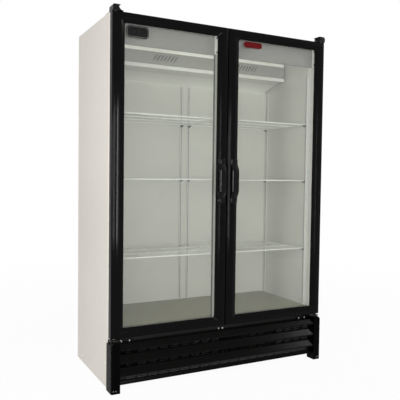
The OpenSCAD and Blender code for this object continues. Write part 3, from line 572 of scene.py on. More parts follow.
HINGE_BLACK = paint("hinge enamel", (0.004, 0.004, 0.004), roughness=0.3, specular=0.15,
                    tone_swing=0.2, rubbed=1.0, bare=(0.2, 0.2, 0.19))
SHELL_BLACK = paint("compressor enamel", (0.01, 0.01, 0.011), roughness=0.4, dust=0.3,
                    tone_swing=0.2)

# Galvanised sheet painted near black as painted shade behind the grille, with some dust
GRILLE_SHADE_ZINC = zinc("dull galvanised sheet", (0.1, 0.1, 0.1), roughness=0.6, gloss_swing=0.1,
                 tone_swing=0.2, metallic=0.7, dust=0.05)
GALVANISED = zinc("galvanised sheet", (0.55, 0.56, 0.57), roughness=0.42, gloss_swing=0.14,
                  tone_swing=0.16, metallic=1.0, dust=0.25)
# Zinc strip with painted shade round its slots
ZINC_STRIP = zinc("zinc strip", linear(186, 187, 178), values=(("Size", 260.0),), roughness=0.4,
                  tone_swing=0.07, metallic=0.3, slots=SlotRows())

# Condenser fins: dark with dust, and painted darker still as painted shade behind the grille
GRILLE_SHADE_FINS = metal("blackened fins", (0.03, 0.03, 0.031), roughness=0.55, tone_swing=0.25,
                  metallic=0.5, relief=0.0002, dust=0.05)
# Evaporator fins painted near black: painted shade behind the cover's vents
VENT_SHADE_FINS = metal("finned aluminium", (0.04, 0.04, 0.042), roughness=0.45, tone_swing=0.25,
             metallic=0.5, relief=0.0002, dust=0.05)
# Painted light: the pan turns lighter towards its rear, brightest at the rear edge
DRIP_PAN = metal("drip pan aluminium", linear(192, 193, 184), tone_swing=0.06, metallic=0.25,
                 relief=0.00002, zones=(Zone(1, 0.118, 0.125, linear(208, 209, 200)),
                                        Zone(1, 0.125, 0.250, linear(240, 241, 232)),
                                        Zone(1, 0.252, 0.256, linear(254, 254, 250))))
COPPER = metal("copper tube", (0.2, 0.1, 0.06), roughness=0.32, tone_swing=0.22, metallic=1.0)
CLIP_STEEL = metal("clip steel", (0.006, 0.006, 0.006), roughness=0.35, tone_swing=0.2,
                   metallic=0.1, specular=0.15)
BRIGHT_STEEL = metal("bright screw steel", (0.78, 0.78, 0.76), roughness=0.22, metallic=1.0)
DULL_STEEL = metal("dull screw steel", (0.16, 0.16, 0.155), roughness=0.35, tone_swing=0.2,
                   metallic=0.9)
DARK_STEEL = metal("blackened screw steel", (0.003, 0.003, 0.003), roughness=0.5,
                   tone_swing=0.25, specular=0.05)
PLATE_RIM = metal("badge rim", (0.22, 0.22, 0.21), roughness=0.3, metallic=0.8)

TRIM_WHITE = moulding("white trim", linear(202, 203, 194), roughness=0.36, tone_swing=0.03)
MULLION_WHITE = moulding("mullion face", linear(164, 165, 154), roughness=0.34, tone_swing=0.03)
TRIM_GREY = moulding("dark strip", linear(50, 52, 48), roughness=0.45, tone_swing=0.1)
LAMP_IVORY = moulding("lamp cover", linear(214, 213, 200), roughness=0.5, tone_swing=0.03)
DOOR_BLACK = moulding("door black", (0.0014, 0.0014, 0.0014), roughness=0.11, gloss_swing=0.03,
                      tone_swing=0.25, specular=0.06, relief=0.00001, values=(("Grain", 0.35),))
HANDLE_BLACK = moulding("handle black", (0.0015, 0.0015, 0.0015), roughness=0.08,
                        gloss_swing=0.02, tone_swing=0.2, specular=0.11, relief=0.00001,
                        values=(("Grain", 0.3),))
POST_BLACK = moulding("post black", (0.0008, 0.0008, 0.0008), roughness=0.28, specular=0.02,
                      rubbed=0.35, bare=(0.05, 0.05, 0.048), dust=0.02)
CAP_BLACK = moulding("cap black", (0.0035, 0.0035, 0.0035), roughness=0.26, specular=0.12,
                     rubbed=0.5, bare=(0.09, 0.09, 0.09), dust=0.1)
FAN_BLACK = moulding("fan plastic", (0.01, 0.01, 0.011), roughness=0.45, dust=0.15)
TRAY_BLACK = moulding("tray plastic", (0.03, 0.03, 0.03), roughness=0.55, dust=0.4)
BOX_GREY = moulding("control box", (0.08, 0.08, 0.08), roughness=0.5, dust=0.1)
KNOB_BLACK = moulding("knob plastic", (0.02, 0.02, 0.02), roughness=0.3)
SEAL_GREY = moulding("seal rubber", (0.012, 0.012, 0.012), roughness=0.6, tone_swing=0.15)
RUBBER = moulding("foot rubber", (0.018, 0.018, 0.018), roughness=0.75, dust=0.3, tone_swing=0.2)
# Dark sheet put inside the shelf standards as painted shade seen through their slots
SHADE_SHEET_BLACK = moulding("backing tape", (0.004, 0.004, 0.004), roughness=0.8, specular=0.02,
                      tone_swing=0.15)
BUSH_IVORY = moulding("bush nylon", linear(200, 196, 180), roughness=0.45)
FOAM_YELLOW = moulding("foam", linear(214, 200, 150), roughness=0.85, relief=0.0003)
PLATE_BLACK = moulding("badge black", (0.006, 0.006, 0.006), roughness=0.25, specular=0.1,
                       relief=0.00001)
PLATE_RED = moulding("badge red", linear(88, 8, 11), roughness=0.3, specular=0.08,
                     relief=0.00001)
GLASS = PaneGlass()


# Mesh helpers

# Angle in degrees above which an edge stays sharp, and distance at which two points are one
CREASE = 32.0
SAME_POINT = 1e-6


def arc(cx: float, cy: float, radius: float, start: float, end: float,
        steps: int = 6) -> list[Point]:
    """Points on an arc.

    Args:
        cx: Centre, first coordinate.
        cy: Centre, second coordinate.
        radius: Radius.
        start: Start angle in degrees.
        end: End angle in degrees.
        steps: Number of chords.

    Returns:
        The points, ends included.
    """
    return [(cx + radius * math.cos(a), cy + radius * math.sin(a))
            for a in (math.radians(start + (end - start) * i / steps) for i in range(steps + 1))]


def rounded_box(x0: float, x1: float, z0: float, z1: float, radius: float,
                steps: int = 5) -> list[Point]:
    """Outline of a rectangle with round corners, anticlockwise from its lower left.

    Args:
        x0: Left side.
        x1: Right side.
        z0: Lower side.
        z1: Upper side.
        radius: Corner radius.
        steps: Chords per corner.

    Returns:
        The outline.
    """
    r = radius
    return (arc(x0 + r, z0 + r, r, 180, 270, steps) + arc(x1 - r, z0 + r, r, 270, 360, steps)
            + arc(x1 - r, z1 - r, r, 0, 90, steps) + arc(x0 + r, z1 - r, r, 90, 180, steps))


def softened(path: Sequence[Point], reach: float, steps: int = 3) -> list[Point]:
    """An open path with its inner corners rounded.

    Args:
        path: The corners.
        reach: Distance from a corner at which its rounding starts.
        steps: Chords per corner.

    Returns:
        The rounded path.
    """
    out = [path[0]]
    for before, here, after in zip(path, path[1:], path[2:]):
        p, a, b = Vector(here), Vector(before) - Vector(here), Vector(after) - Vector(here)
        near = min(reach, a.length / 2.1, b.length / 2.1)
        for k in range(steps + 1):
            t = k / steps
            q = p + a.normalized() * near * (1 - t) ** 2 + b.normalized() * near * t ** 2
            out.append((q.x, q.y))
    return out + [path[-1]]


def piece(name: str, mesh: bmesh.types.BMesh, finish: Any,
          crease: float = CREASE) -> bpy.types.Object:
    """Turn a bmesh into a named object with its finish.

    Args:
        name: Name of the object.
        mesh: The geometry, which is freed.
        finish: Finish of the piece.
        crease: Angle in degrees above which an edge stays sharp.

    Returns:
        The object.
    """
    bmesh.ops.remove_doubles(mesh, verts=mesh.verts, dist=SAME_POINT)
    bmesh.ops.recalc_face_normals(mesh, faces=mesh.faces)
    data = bpy.data.meshes.new(name)
    mesh.to_mesh(data)
    mesh.free()
    data.shade_smooth()
    data.set_sharp_from_angle(angle=math.radians(crease))
    data.materials.append(finish.material())
    made = bpy.data.objects.new(name, data)
    bpy.context.scene.collection.objects.link(made)
    return made


def loft(mesh: bmesh.types.BMesh, loops: Sequence[Sequence[Sequence[float]]],
         closed: bool = False) -> None:
    """Join closed loops of equal length with faces, capped at both ends unless closed.

    Args:
        mesh: The bmesh that gets the faces.
        loops: The loops of points.
        closed: True to join the last loop to the first.
    """
    rings = [[mesh.verts.new(p) for p in loop] for loop in loops]
    pairs = list(zip(rings, rings[1:])) + ([(rings[-1], rings[0])] if closed else [])
    for low, high in pairs:
        for i in range(len(low)):
            j = (i + 1) % len(low)
            mesh.faces.new((low[i], low[j], high[j], high[i]))
    if not closed:
        mesh.faces.new(list(reversed(rings[0])))
        mesh.faces.new(rings[-1])


def cut_away(target: bpy.types.Object, cutter: bpy.types.Object) -> None:
    """Subtract one object from another and delete the cutter.

    Args:
        target: The object to cut.
        cutter: The object to remove from it.
    """
    modifier = target.modifiers.new("cut", "BOOLEAN")
    modifier.operation, modifier.object, modifier.solver = "DIFFERENCE", cutter, "EXACT"
    graph = bpy.context.evaluated_depsgraph_get()
    data = bpy.data.meshes.new_from_object(target.evaluated_get(graph))
    target.modifiers.clear()
    target.data = data
    bpy.data.objects.remove(cutter)


def finish_nodes(frame: dict[str, Any], table: dict[Any, str]) -> None:
    """Give CAD nodes their materials.

    Args:
        frame: The loaded frame.
        table: For each finish, the names of its nodes with spaces between them.
    """
    for finish, names in table.items():
        for name in names.split():
            node = frame["nodes"][name]
            if not node.material_slots:
                node.data.materials.append(finish.material())
            for held in node.material_slots:
                held.material = finish.material()
            LOG.info("node %s: %s", name, finish.name)


class Side(Enum):
    """The two halves of the cabinet, as seen by a person who faces the doors."""

    LEFT = -1
    RIGHT = 1

    @property
    def word(self) -> str:
        """Name of the side, as node names have it."""
        return self.name.lower()


@dataclass
class Body:
    """Main planes of the cabinet, in metres.

    Attributes:
        half_width: Distance of a side from the middle.
        door_front: Depth plane of the front of the doors.
        shell_front: Depth plane of the front of the body.
        back: Depth plane of the rear panel.
        door_bottom: Lower edge of the doors.
        door_top: Upper edge of the doors.
        roof: Height of the roof panel.
    """

    half_width: float = 0.688
    door_front: float = -0.3135
    shell_front: float = -0.2585
    back: float = 0.3385
    door_bottom: float = 0.287
    door_top: float = 1.990
    roof: float = 1.992


# Fasteners


class Drive(Enum):
    """Kinds of screw head."""

    CROSS = "cross"
    HEX = "hex"


@dataclass
class Screw:
    """A fastener head on a face.

    Attributes:
        name: Name of the piece.
        at: Point on the face, in metres.
        out: Direction away from the face.
        width: Diameter of the head, in metres.
        finish: Finish of the head.
        turn: Turn of the recess about its axis, in degrees.
        drive: Kind of head.
        body: Body that it rides on.
    """

    name: str
    at: Place
    out: Place
    width: float
    finish: Finish
    turn: float = 20.0
    drive: Drive = Drive.CROSS
    body: str = "cabinet"

    @property
    def slot(self) -> str:
        """Material slot of the record that goes with the finish."""
        return "clip_steel" if self.finish is DARK_STEEL else "galvanised"

    def build(self) -> None:
        """Build the head with its recess or flats and its pressed washer."""
        r = self.width / 2
        mesh = bmesh.new()
        if self.drive is Drive.CROSS:
            profile = [(r, -0.0002), (r, 0.10 * r)] + [
                (r * math.cos(a), 0.10 * r + 0.42 * r * math.sin(a))
                for a in (math.radians(15 * k) for k in range(1, 6))]
            self._revolve(mesh, profile, 24)
        else:
            self._revolve(mesh, [(r, -0.0002), (r, 0.14 * r), (0.86 * r, 0.2 * r)], 28)
            self._revolve(mesh, [(0.8 * r, 0.1 * r), (0.8 * r, 0.62 * r), (0.7 * r, 0.72 * r)], 6)
        head = piece(self.name, mesh, self.finish)
        if self.drive is Drive.CROSS:
            cut_away(head, self._recess(r))
        spin = Matrix.Rotation(math.radians(self.turn), 4, "Z")
        aim = Vector((0, 0, 1)).rotation_difference(Vector(self.out)).to_matrix().to_4x4()
        head.data.transform(Matrix.Translation(self.at) @ aim @ spin)
        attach(head, self.body)
        LOG.info("piece %s", self.name)

    @staticmethod
    def _revolve(mesh: bmesh.types.BMesh, profile: Sequence[Point], sides: int) -> None:
        """Turn a profile of radius and height about Z into a capped solid."""
        loft(mesh, [[(p * math.cos(a), p * math.sin(a), h)
                     for a in (2 * math.pi * k / sides for k in range(sides))] for p, h in profile])

    @staticmethod
    def _recess(r: float) -> bpy.types.Object:
        """Cross-shaped cutter that narrows downwards."""
        mesh = bmesh.new()
        loops = []
        for height, arm, half in ((0.12 * r, 0.42 * r, 0.07 * r), (0.7 * r, 0.62 * r, 0.13 * r)):
            corners = []
            for k in range(4):
                c, s = math.cos(k * math.pi / 2), math.sin(k * math.pi / 2)
                for u, v in ((half, -half), (arm, -half), (arm, half)):
                    corners.append((u * c - v * s, u * s + v * c, height))
            loops.append(corners)
        loft(mesh, loops)
        return piece("recess", mesh, DARK_STEEL)


# Doors

# Stands for the depth of the stile's face, where a point of the handle is seated on it
SEATED = 1.0


@dataclass
class Door:
    """One door: welded frame, sealed glass, gasket, bow handle and bushes.

    Attributes:
        side: Which door.
        body: Planes of the cabinet.
        gap: Gap between the two doors.
        depth: Thickness of the door.
        stile: Visible width of the upright members.
        rail: Visible width of the horizontal members.
        ridge: Distance of the crease from the outer edge.
        fall: Fall of the face from the crease to the edge.
        edge: Radius of the outer edge.
        support: Distance behind that edge of the point that keeps its shading.
        soften: Distance over which the creases of the face are rounded.
        bevel: Width of the slope that runs in to the glass.
        bevel_depth: Depth of that slope.
        recess: Depth of the glass behind the door front.
        unit: Thickness of the glass unit with its clearance.
        groove: Depth of the groove for the glass unit.
        rear_set: Distance by which the rear of the frame stays back from its inner edge.
        pane_corner: Radius of the frame's inner corners.
        outer_corner: Radius of its outer corners.
        groove_corner: Radius of the corners of the groove.
        pivot: Hinge axis, as distance in from the outer edge and back from the front.
        bush: Radius and length of the bore for a hinge bush.
        handle_low: Height of the lower end of the handle.
        handle_length: Length of the handle.
        handle_width: Width of the handle.
        handle_in: Distance of the handle from the meeting edge.
        handle_reach: Distance from the door front to the front of the arch.
        handle_thick: Thickness of the arch.
        handle_foot: Length of each handle foot.
        handle_rise: Height over which the arch rises.
        handle_lead: Distance by which its outside starts to rise before its inside.
        handle_end: Length of the curve at each end.
        handle_dip: Fall of the face at each end.
        handle_edge: Radius of the edges.
    """

    side: Side
    body: Body
    gap: float = 0.003
    depth: float = 0.045
    stile: float = 0.068
    rail: float = 0.054
    ridge: float = 0.022
    fall: float = 0.0025
    edge: float = 0.008
    support: float = 0.0012
    soften: float = 0.003
    bevel: float = 0.023
    bevel_depth: float = 0.010
    recess: float = 0.012
    unit: float = 0.0204
    groove: float = 0.0284
    rear_set: float = 0.020
    pane_corner: float = 0.012
    outer_corner: float = 0.0016
    groove_corner: float = 0.0005
    pivot: Point = (0.018, 0.022)
    bush: Point = (0.0081, 0.025)
    handle_low: float = 0.995
    handle_length: float = 0.255
    handle_width: float = 0.046
    handle_in: float = 0.0165
    handle_reach: float = 0.025
    handle_thick: float = 0.007
    handle_foot: float = 0.048
    handle_rise: float = 0.042
    handle_lead: float = 0.022
    handle_end: float = 0.009
    handle_dip: float = 0.0022
    handle_edge: float = 0.0024

    @property
    def rides_on(self) -> str:
        """CAD body of this door."""
        return f"{self.side.word}_door"

    def dress(self, frame: dict[str, Any]) -> None:
        """Replace the frame and the handle, and finish the other nodes.

        Args:
            frame: The loaded frame.
        """
        word = self.side.word
        finish_nodes(frame, {GLASS: f"{word}_door_glass", SEAL_GREY: f"{word}_door_gasket",
                             BUSH_IVORY: f"{word}_door_bushes"})
        for made, node, slot in ((self.frame_piece(), f"{word}_door_frame", "door_black"),
                                 (self.handle_piece(), f"{word}_door_handle", "handle_black")):
            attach(made, self.rides_on)
            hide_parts(node)
            LOG.info("piece %s stands for %s", made.name, node)

    def face(self, width: float) -> list[Point]:
        """Front line of a member: distance in from the outer edge, and depth behind the front.

        Args:
            width: Visible width of the member.

        Returns:
            The line from the outer edge to the glass.
        """
        e, f = self.edge, self.fall
        outer = [(e + e * math.cos(math.radians(a)), f + e + e * math.sin(math.radians(a)))
                 for a in range(180, 271, 10)]
        start = (e + self.support, f * (1 - self.support / (self.ridge - e)))
        inner = [(self.ridge, 0.0), (width - self.bevel, 0.0), (width, self.bevel_depth)]
        return outer + softened([start] + inner, self.soften)

    def frame_piece(self) -> bpy.types.Object:
        """Build the door frame as one ring of the member's section.

        Returns:
            The piece, at its place on this side.
        """
        b = self.body
        x0, x1, z0, z1 = self.gap / 2, b.half_width, b.door_bottom, b.door_top
        back = self.recess + self.unit
        rear = [(0.0, self.recess), (-self.groove, self.recess), (-self.groove, back),
                (-self.rear_set, back), (-self.rear_set, self.depth)]
        sections = [(across, level, depth) for (across, depth), (level, _)
                    in zip(self.face(self.stile), self.face(self.rail))]
        sections += [(self.stile + u, self.rail + u, v) for u, v in rear]
        sections.append((0.0, 0.0, self.depth))
        loops = []
        for across, level, depth in sections:
            share = min(max((across - self.ridge) / (self.stile - self.ridge), 0.0), 1.0)
            corner = self.outer_corner + (self.pane_corner - self.outer_corner) * share
            if across == self.stile - self.groove and depth >= self.recess:
                corner = self.groove_corner
            loops.append([(x, b.door_front + depth, z) for x, z in
                          rounded_box(x0 + across, x1 - across, z0 + level, z1 - level, corner)])
        mesh = bmesh.new()
        loft(mesh, loops, closed=True)
        ring = piece(f"{self.side.word}_door_surround", mesh, DOOR_BLACK)
        for z in (z0 - 0.001, z1 - self.bush[1]):
            ends = [[(x1 - self.pivot[0] + self.bush[0] * math.cos(a),
                      b.door_front + self.pivot[1] + self.bush[0] * math.sin(a), z + h)
                     for a in (math.pi * k / 16 for k in range(32))]
                    for h in (0, self.bush[1] + 0.001)]
            bore = bmesh.new()
            loft(bore, ends)
            cut_away(ring, piece("bore", bore, DOOR_BLACK))
        ring.data.set_sharp_from_angle(angle=math.radians(CREASE))
        return self._to_side(ring)

    def handle_piece(self) -> bpy.types.Object:
        """Build the bow handle: an arch with soft edges on two feet that sit on the stile.

        Returns:
            The piece, at its place on this side.
        """
        low, high = self.handle_low, self.handle_low + self.handle_length
        x0 = self.gap / 2 + self.handle_in
        rise, thick = self.handle_reach - self.handle_thick, self.handle_thick
        half: list[tuple[Point, Point, float]] = []
        foot = low + self.handle_foot
        for k in range(7):
            t = math.radians(15 * k)
            inset = self.handle_end * (1 - math.sin(t))
            z = low + self.handle_end * (1 - math.cos(t))
            y = -thick + self.handle_dip * (1 - math.sin(t)) ** 2
            half.append(((y, z), (SEATED, z), inset))
        half.append(((-thick, foot - self.handle_lead - 0.004), (SEATED, foot - 0.006), 0.0))
        half.append(((-thick, foot - self.handle_lead - 0.002), (SEATED, foot), 0.0))
        for k in range(25):
            t = k / 24
            lift = t * t * (3 - 2 * t)
            half.append(((-thick - rise * lift, foot - self.handle_lead + self.handle_rise * t),
                         (-rise * lift, foot + self.handle_rise * t), 0.0))
        middle = (low + high) / 2
        flip = [((o[0], 2 * middle - o[1]), (i[0], 2 * middle - i[1]), s)
                for o, i, s in reversed(half)]
        loops = [self._strap(x0 + inset, x0 + self.handle_width - inset, outer, inner)
                 for outer, inner, inset in half + flip]
        mesh = bmesh.new()
        loft(mesh, loops)
        return self._to_side(piece(f"{self.side.word}_bow_handle", mesh, HANDLE_BLACK, crease=50.0))

    def _strap(self, x0: float, x1: float, outer: Point, inner: Point) -> list[Place]:
        """Section of the handle between its outer and inner points, with rounded edges."""
        front, r = self.body.door_front, self.handle_edge

        def base(x: float) -> float:
            """Depth of the underside, on the stile's face where the handle is seated."""
            return self._face_depth(x) - 0.0001 if inner[0] == SEATED else inner[0]

        line = [(x0 + r + r * math.cos(a), r * (1.0 - math.sin(a)))
                for a in (math.radians(angle) for angle in range(180, 91, -18))]
        line += [(x0 + x1 - x, y) for x, y in reversed(line)]
        out: list[Place] = []
        for x, drop in line:
            share = min(drop / 0.010 * 1.2, 0.5)
            out.append((x, front + outer[0] + (base(x) - outer[0]) * share,
                        outer[1] + (inner[1] - outer[1]) * share))
        return out + [(x, front + base(x), inner[1])
                      for x in (x1 + (x0 - x1) * k / 12 for k in range(13))]

    def _face_depth(self, x: float) -> float:
        """Depth of the stile's face behind the door front at a distance from the middle."""
        u = x - self.gap / 2
        flat_end = self.stile - self.bevel
        if u < self.ridge:
            return self.fall * (self.ridge - u) / (self.ridge - self.edge)
        return max(0.0, (u - flat_end) / self.bevel * self.bevel_depth)

    def _to_side(self, made: bpy.types.Object) -> bpy.types.Object:
        """Mirror a piece that was built for the right door, if this is the left one."""
        if self.side is Side.LEFT:
            made.data.transform(Matrix.Diagonal((-1, 1, 1, 1)))
            made.data.flip_normals()
        return made


# Badges


@dataclass
class BadgePlate:
    """A bare badge plate that stands where the real door carries one.

    Attributes:
        name: Name of the piece.
        span: Left, right, lower and upper edge, in metres.
        corner: Corner radius.
        thick: Thickness of the plate.
        face: Depth plane of the glass.
        body: Body that it rides on.
        finish: Finish of the plate.
        slot: Material slot of the record; not used.
        rim: Width of the raised rim, or 0.
        border: Distance of the rim from the edge.
    """

    name: str
    span: tuple[float, float, float, float]
    corner: float
    thick: float
    face: float
    body: str
    finish: Finish
    slot: str
    rim: float = 0.0
    border: float = 0.0045

    def build(self) -> None:
        """Build the domed plate and, where it has one, its raised inner border."""
        front = self.face - self.thick
        self._ring(self.name, self.finish, 0.0005, False, [
            (inset, self.face - 0.00005 - lift * self.thick) for inset, lift in (
                (0.0, 0.0), (0.0, 0.45), (0.0004, 0.8), (0.0012, 0.97), (0.003, 1.0))])
        if self.rim:
            self._ring(self.name + "_border", PLATE_RIM, 0.001, True, [
                (self.border + inset, front + lift) for inset, lift in (
                    (0.0, 0.0001), (0.0002, -0.0004), (self.rim - 0.0002, -0.0004),
                    (self.rim, 0.0001))])

    def _ring(self, name: str, finish: Finish, least: float, closed: bool,
              steps: Sequence[Point]) -> None:
        """Build a part of the badge from the insets and depths of its outline."""
        x0, x1, z0, z1 = self.span
        mesh = bmesh.new()
        loft(mesh, [[(x, depth, z) for x, z in rounded_box(
            x0 + i, x1 - i, z0 + i, z1 - i, max(self.corner - i, least), 10)]
            for i, depth in steps], closed)
        made = piece(name, mesh, finish, crease=40.0)
        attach(made, self.body)
        LOG.info("piece %s", made.name)


# The rest of the cabinet


@dataclass
class Cabinet:
    """Outer shell, opening, liner and header, with the screws that hold them.

    Attributes:
        body: Planes of the cabinet.
        header_screws: Distance from the middle of the screws in the header brackets.
        header_heights: Heights of those screws.
        bracket: Thickness of those brackets.
        sill_screws: Distance from the middle of the bright sill screws, and their height.
        panel_screws: Depth and height of the screws at the foot of each side panel.
        rear_screws: Distance from the middle, first height and spacing of the rear panel's screws.
        foot_screws: First place, spacing and height of the row of screws at its foot.
    """

    body: Body
    header_screws: tuple[float, ...] = (0.0536, 0.645)
    header_heights: tuple[float, ...] = (1.855, 1.936)
    bracket: float = 0.0012
    sill_screws: Point = (0.0135, 0.2586)
    panel_screws: tuple[Point, ...] = ((-0.215, 0.137), (0.228, 0.053))
    rear_screws: Place = (0.66, 0.34, 0.31)
    foot_screws: Place = (-0.6, 0.3, 0.256)

    def dress(self, frame: dict[str, Any]) -> None:
        """Finish the nodes and add the screws.

        Args:
            frame: The loaded frame.
        """
        finish_nodes(frame, {
            BODY_WHITE: "left_side_panel right_side_panel roof_panel",
            GALVANISED: "rear_panel rear_grille",
            # Base pan and shroud in painted shade behind the grille
            GRILLE_SHADE_ZINC: "base_pan condenser_shroud",
            SILL_BLACK: "front_sill",
            FOAM_YELLOW: "insulation",
            LINER_WHITE: "liner_wrapper back_liner",
            FLOOR_OLIVE: "floor_liner",
            MULLION_WHITE: "center_mullion",
            TRIM_GREY: "mullion_trims",
            TRIM_WHITE: "jamb_trims",
            HEADER_GREY: "header_panels",
            BRACKET_WHITE: "header_brackets",
            LAMP_IVORY: "lamp_battens",
            RUBBER: "rear_feet cord_gland"})
        for screw in self.screws():
            screw.build()

    def screws(self) -> Iterable[Screw]:
        """Screws of the body.

        Returns:
            Each screw that shows on the shell and round the opening.
        """
        b = self.body
        sill_x, sill_z = self.sill_screws
        rear_x, rear_z, rise = self.rear_screws
        foot_x, apart, foot_z = self.foot_screws
        for side in Side:
            s, word = side.value, side.word
            for x in self.header_screws:
                for z in self.header_heights:
                    yield Screw(f"{word}_header_screw_{round(x * 1000)}_{round(z * 1000)}",
                                (s * x, b.shell_front - self.bracket, z), (0, -1, 0), 0.0095,
                                DARK_STEEL, z * 900)
            yield Screw(f"{word}_sill_screw", (s * sill_x, b.shell_front, sill_z), (0, -1, 0),
                        0.0095, BRIGHT_STEEL, 30 * s)
            for y, z in self.panel_screws:
                yield Screw(f"{word}_panel_screw_{round(z * 1000)}_{round((y + 1) * 1000)}",
                            (s * b.half_width, y, z), (s, 0, 0), 0.009, BRIGHT_STEEL, 70 * y)
            for k in range(6):
                yield Screw(f"{word}_rear_screw_{k}", (s * rear_x, b.back, rear_z + rise * k),
                            (0, 1, 0), 0.009, BRIGHT_STEEL, 17 * k, Drive.HEX)
        for k in range(5):
            yield Screw(f"rear_cover_screw_{k}", (foot_x + apart * k, b.back, foot_z),
                        (0, 1, 0), 0.009, BRIGHT_STEEL, 23 * k, Drive.HEX)


@dataclass
class Interior:
    """Shelves, standards, clips and the evaporator under the roof.

    Attributes:
        backings: Middle of the face of each standard, and the direction into it.
        backing: Half width, front, rear and thickness of the dark sheet of painted shade inside a
            standard.
        backing_span: Lower and upper end of those sheets.
        cover_front: Depth plane of the evaporator cover's face.
        cover_middle: Sideways place of the middle of the cover.
        cover_screws: Distance from that middle and height of each screw at an end of the cover.
        standard_screws: Heights of the screws in the rear standards.
    """

    backings: tuple[tuple[float, float, float, float], ...] = (
        (0.027, 0.2535, 0.0, 1.0), (0.027, -0.2195, 0.0, -1.0),
        (0.628, 0.2265, 1.0, 0.0), (0.628, -0.2115, 1.0, 0.0))
    backing: tuple[float, float, float, float] = (0.0063, 0.0024, 0.0074, 0.0006)
    backing_span: Point = (0.338, 1.722)
    cover_front: float = 0.0265
    cover_middle: float = 0.0425
    cover_screws: tuple[Point, ...] = ((0.5545, 1.912), (0.5715, 1.913), (0.5685, 1.8185))
    standard_screws: Point = (0.523, 1.666)

    def dress(self, frame: dict[str, Any]) -> None:
        """Finish the nodes and add the dark sheets of painted shade behind the slots, and the
        screws.

        Args:
            frame: The loaded frame.
        """
        finish_nodes(frame, {
            SHELF_COAT: " ".join(f"{level}_{side.word}_shelf" for level in
                                 ("lower", "middle", "upper") for side in Side),
            ZINC_STRIP: "shelf_standards",
            CLIP_STEEL: "shelf_clips",
            COVER_WHITE: "evaporator_cover",
            DRIP_PAN: "evaporator_pan",
            # Evaporator coil in painted shade behind the vents
            VENT_SHADE_FINS: "evaporator_coil",
            FAN_BLACK: "evaporator_fan_left evaporator_fan_right",
            SHELL_BLACK: "evaporator_motors"})
        for side in Side:
            # Dark sheets inside the standards: painted shade that shows through the slots
            for k, (x, y, dx, dy) in enumerate(self.backings):
                mesh = bmesh.new()
                half, near, far, thick = self.backing
                shade_outline = [(-half, near), (-half, far), (half, far), (half, near),
                          (half - thick, near), (half - thick, far - thick),
                          (thick - half, far - thick), (thick - half, near)]
                loft(mesh, [[(side.value * (x + dx * v) + dy * u, y + dy * v + dx * u, z)
                             for u, v in shade_outline] for z in self.backing_span])
                shade_piece = piece(f"{side.word}_backing_tape_{k}", mesh, SHADE_SHEET_BLACK)
                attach(shade_piece, "cabinet")
                LOG.info("piece %s", shade_piece.name)
            x, y = self.backings[0][:2]
            for k, z in enumerate(self.standard_screws):
                Screw(f"{side.word}_standard_screw_{k}", (side.value * x, y, z), (0, -1, 0),
                      0.009, DARK_STEEL, 50 * k).build()
            for k, (x, z) in enumerate(self.cover_screws):
                Screw(f"{side.word}_cover_screw_{k}",
                      (self.cover_middle + side.value * x, self.cover_front, z), (0, -1, 0),
                      0.008, DARK_STEEL, 35 * k).build()


@dataclass
class Hardware:
    """Hinges, hinge caps, corner posts, front grille and their screws.

    Attributes:
        body: Planes of the cabinet.
        bracket_front: Depth plane of the lower bracket's face.
        bracket_screws: Distances of its screws from the middle, and their height.
        post_front: Depth plane of the posts.
        post_screws: Distance from the middle and height of each screw in a post.
        roof_screws: Distance from the middle and depth of each screw in an upper hinge plate.
        plate: Thickness of that plate.
    """

    body: Body
    bracket_front: float = -0.2635
    bracket_screws: tuple[Point, ...] = ((0.613, 0.259), (0.567, 0.259))
    post_front: float = -0.3255
    post_screws: tuple[Point, ...] = ((0.677, 0.0165), (0.6635, 0.0155))
    roof_screws: tuple[Point, ...] = ((0.660, -0.1875), (0.660, -0.2175))
    plate: float = 0.005

    def dress(self, frame: dict[str, Any]) -> None:
        """Finish the nodes and add the screws.

        Args:
            frame: The loaded frame.
        """
        finish_nodes(frame, {
            HINGE_BLACK: "top_hinges bottom_hinges",
            CAP_BLACK: "hinge_caps",
            POST_BLACK: "left_post right_post",
            GRILLE_BLACK: "front_grille"})
        for side in Side:
            s, word = side.value, side.word
            for k, (x, z) in enumerate(self.bracket_screws):
                Screw(f"{word}_bracket_screw_{k}", (s * x, self.bracket_front, z), (0, -1, 0),
                      0.0085, BRIGHT_STEEL, 40 + 25 * k).build()
            for k, (x, z) in enumerate(self.post_screws):
                Screw(f"{word}_post_screw_{k}", (s * x, self.post_front, z), (0, -1, 0),
                      0.0065, DULL_STEEL, 60 * k).build()
            for k, (x, y) in enumerate(self.roof_screws):
                Screw(f"{word}_roof_screw_{k}", (s * x, y, self.body.roof + self.plate),
                      (0, 0, 1), 0.012, BRIGHT_STEEL, 11 * k, Drive.HEX).build()


class CoolingUnit:
    """Condensing unit behind the front grille."""

    def dress(self, frame: dict[str, Any]) -> None:
        """Finish the nodes.

        Args:
            frame: The loaded frame.
        """
        finish_nodes(frame, {
            SHELL_BLACK: "compressor condenser_motor",
            # Condenser coil in painted shade behind the grille
            GRILLE_SHADE_FINS: "condenser_coil",
            FAN_BLACK: "condenser_fan",
            TRAY_BLACK: "condensate_tray",
            COPPER: "refrigerant_lines",
            BOX_GREY: "control_box",
            KNOB_BLACK: "thermostat_knob"})


# Studio


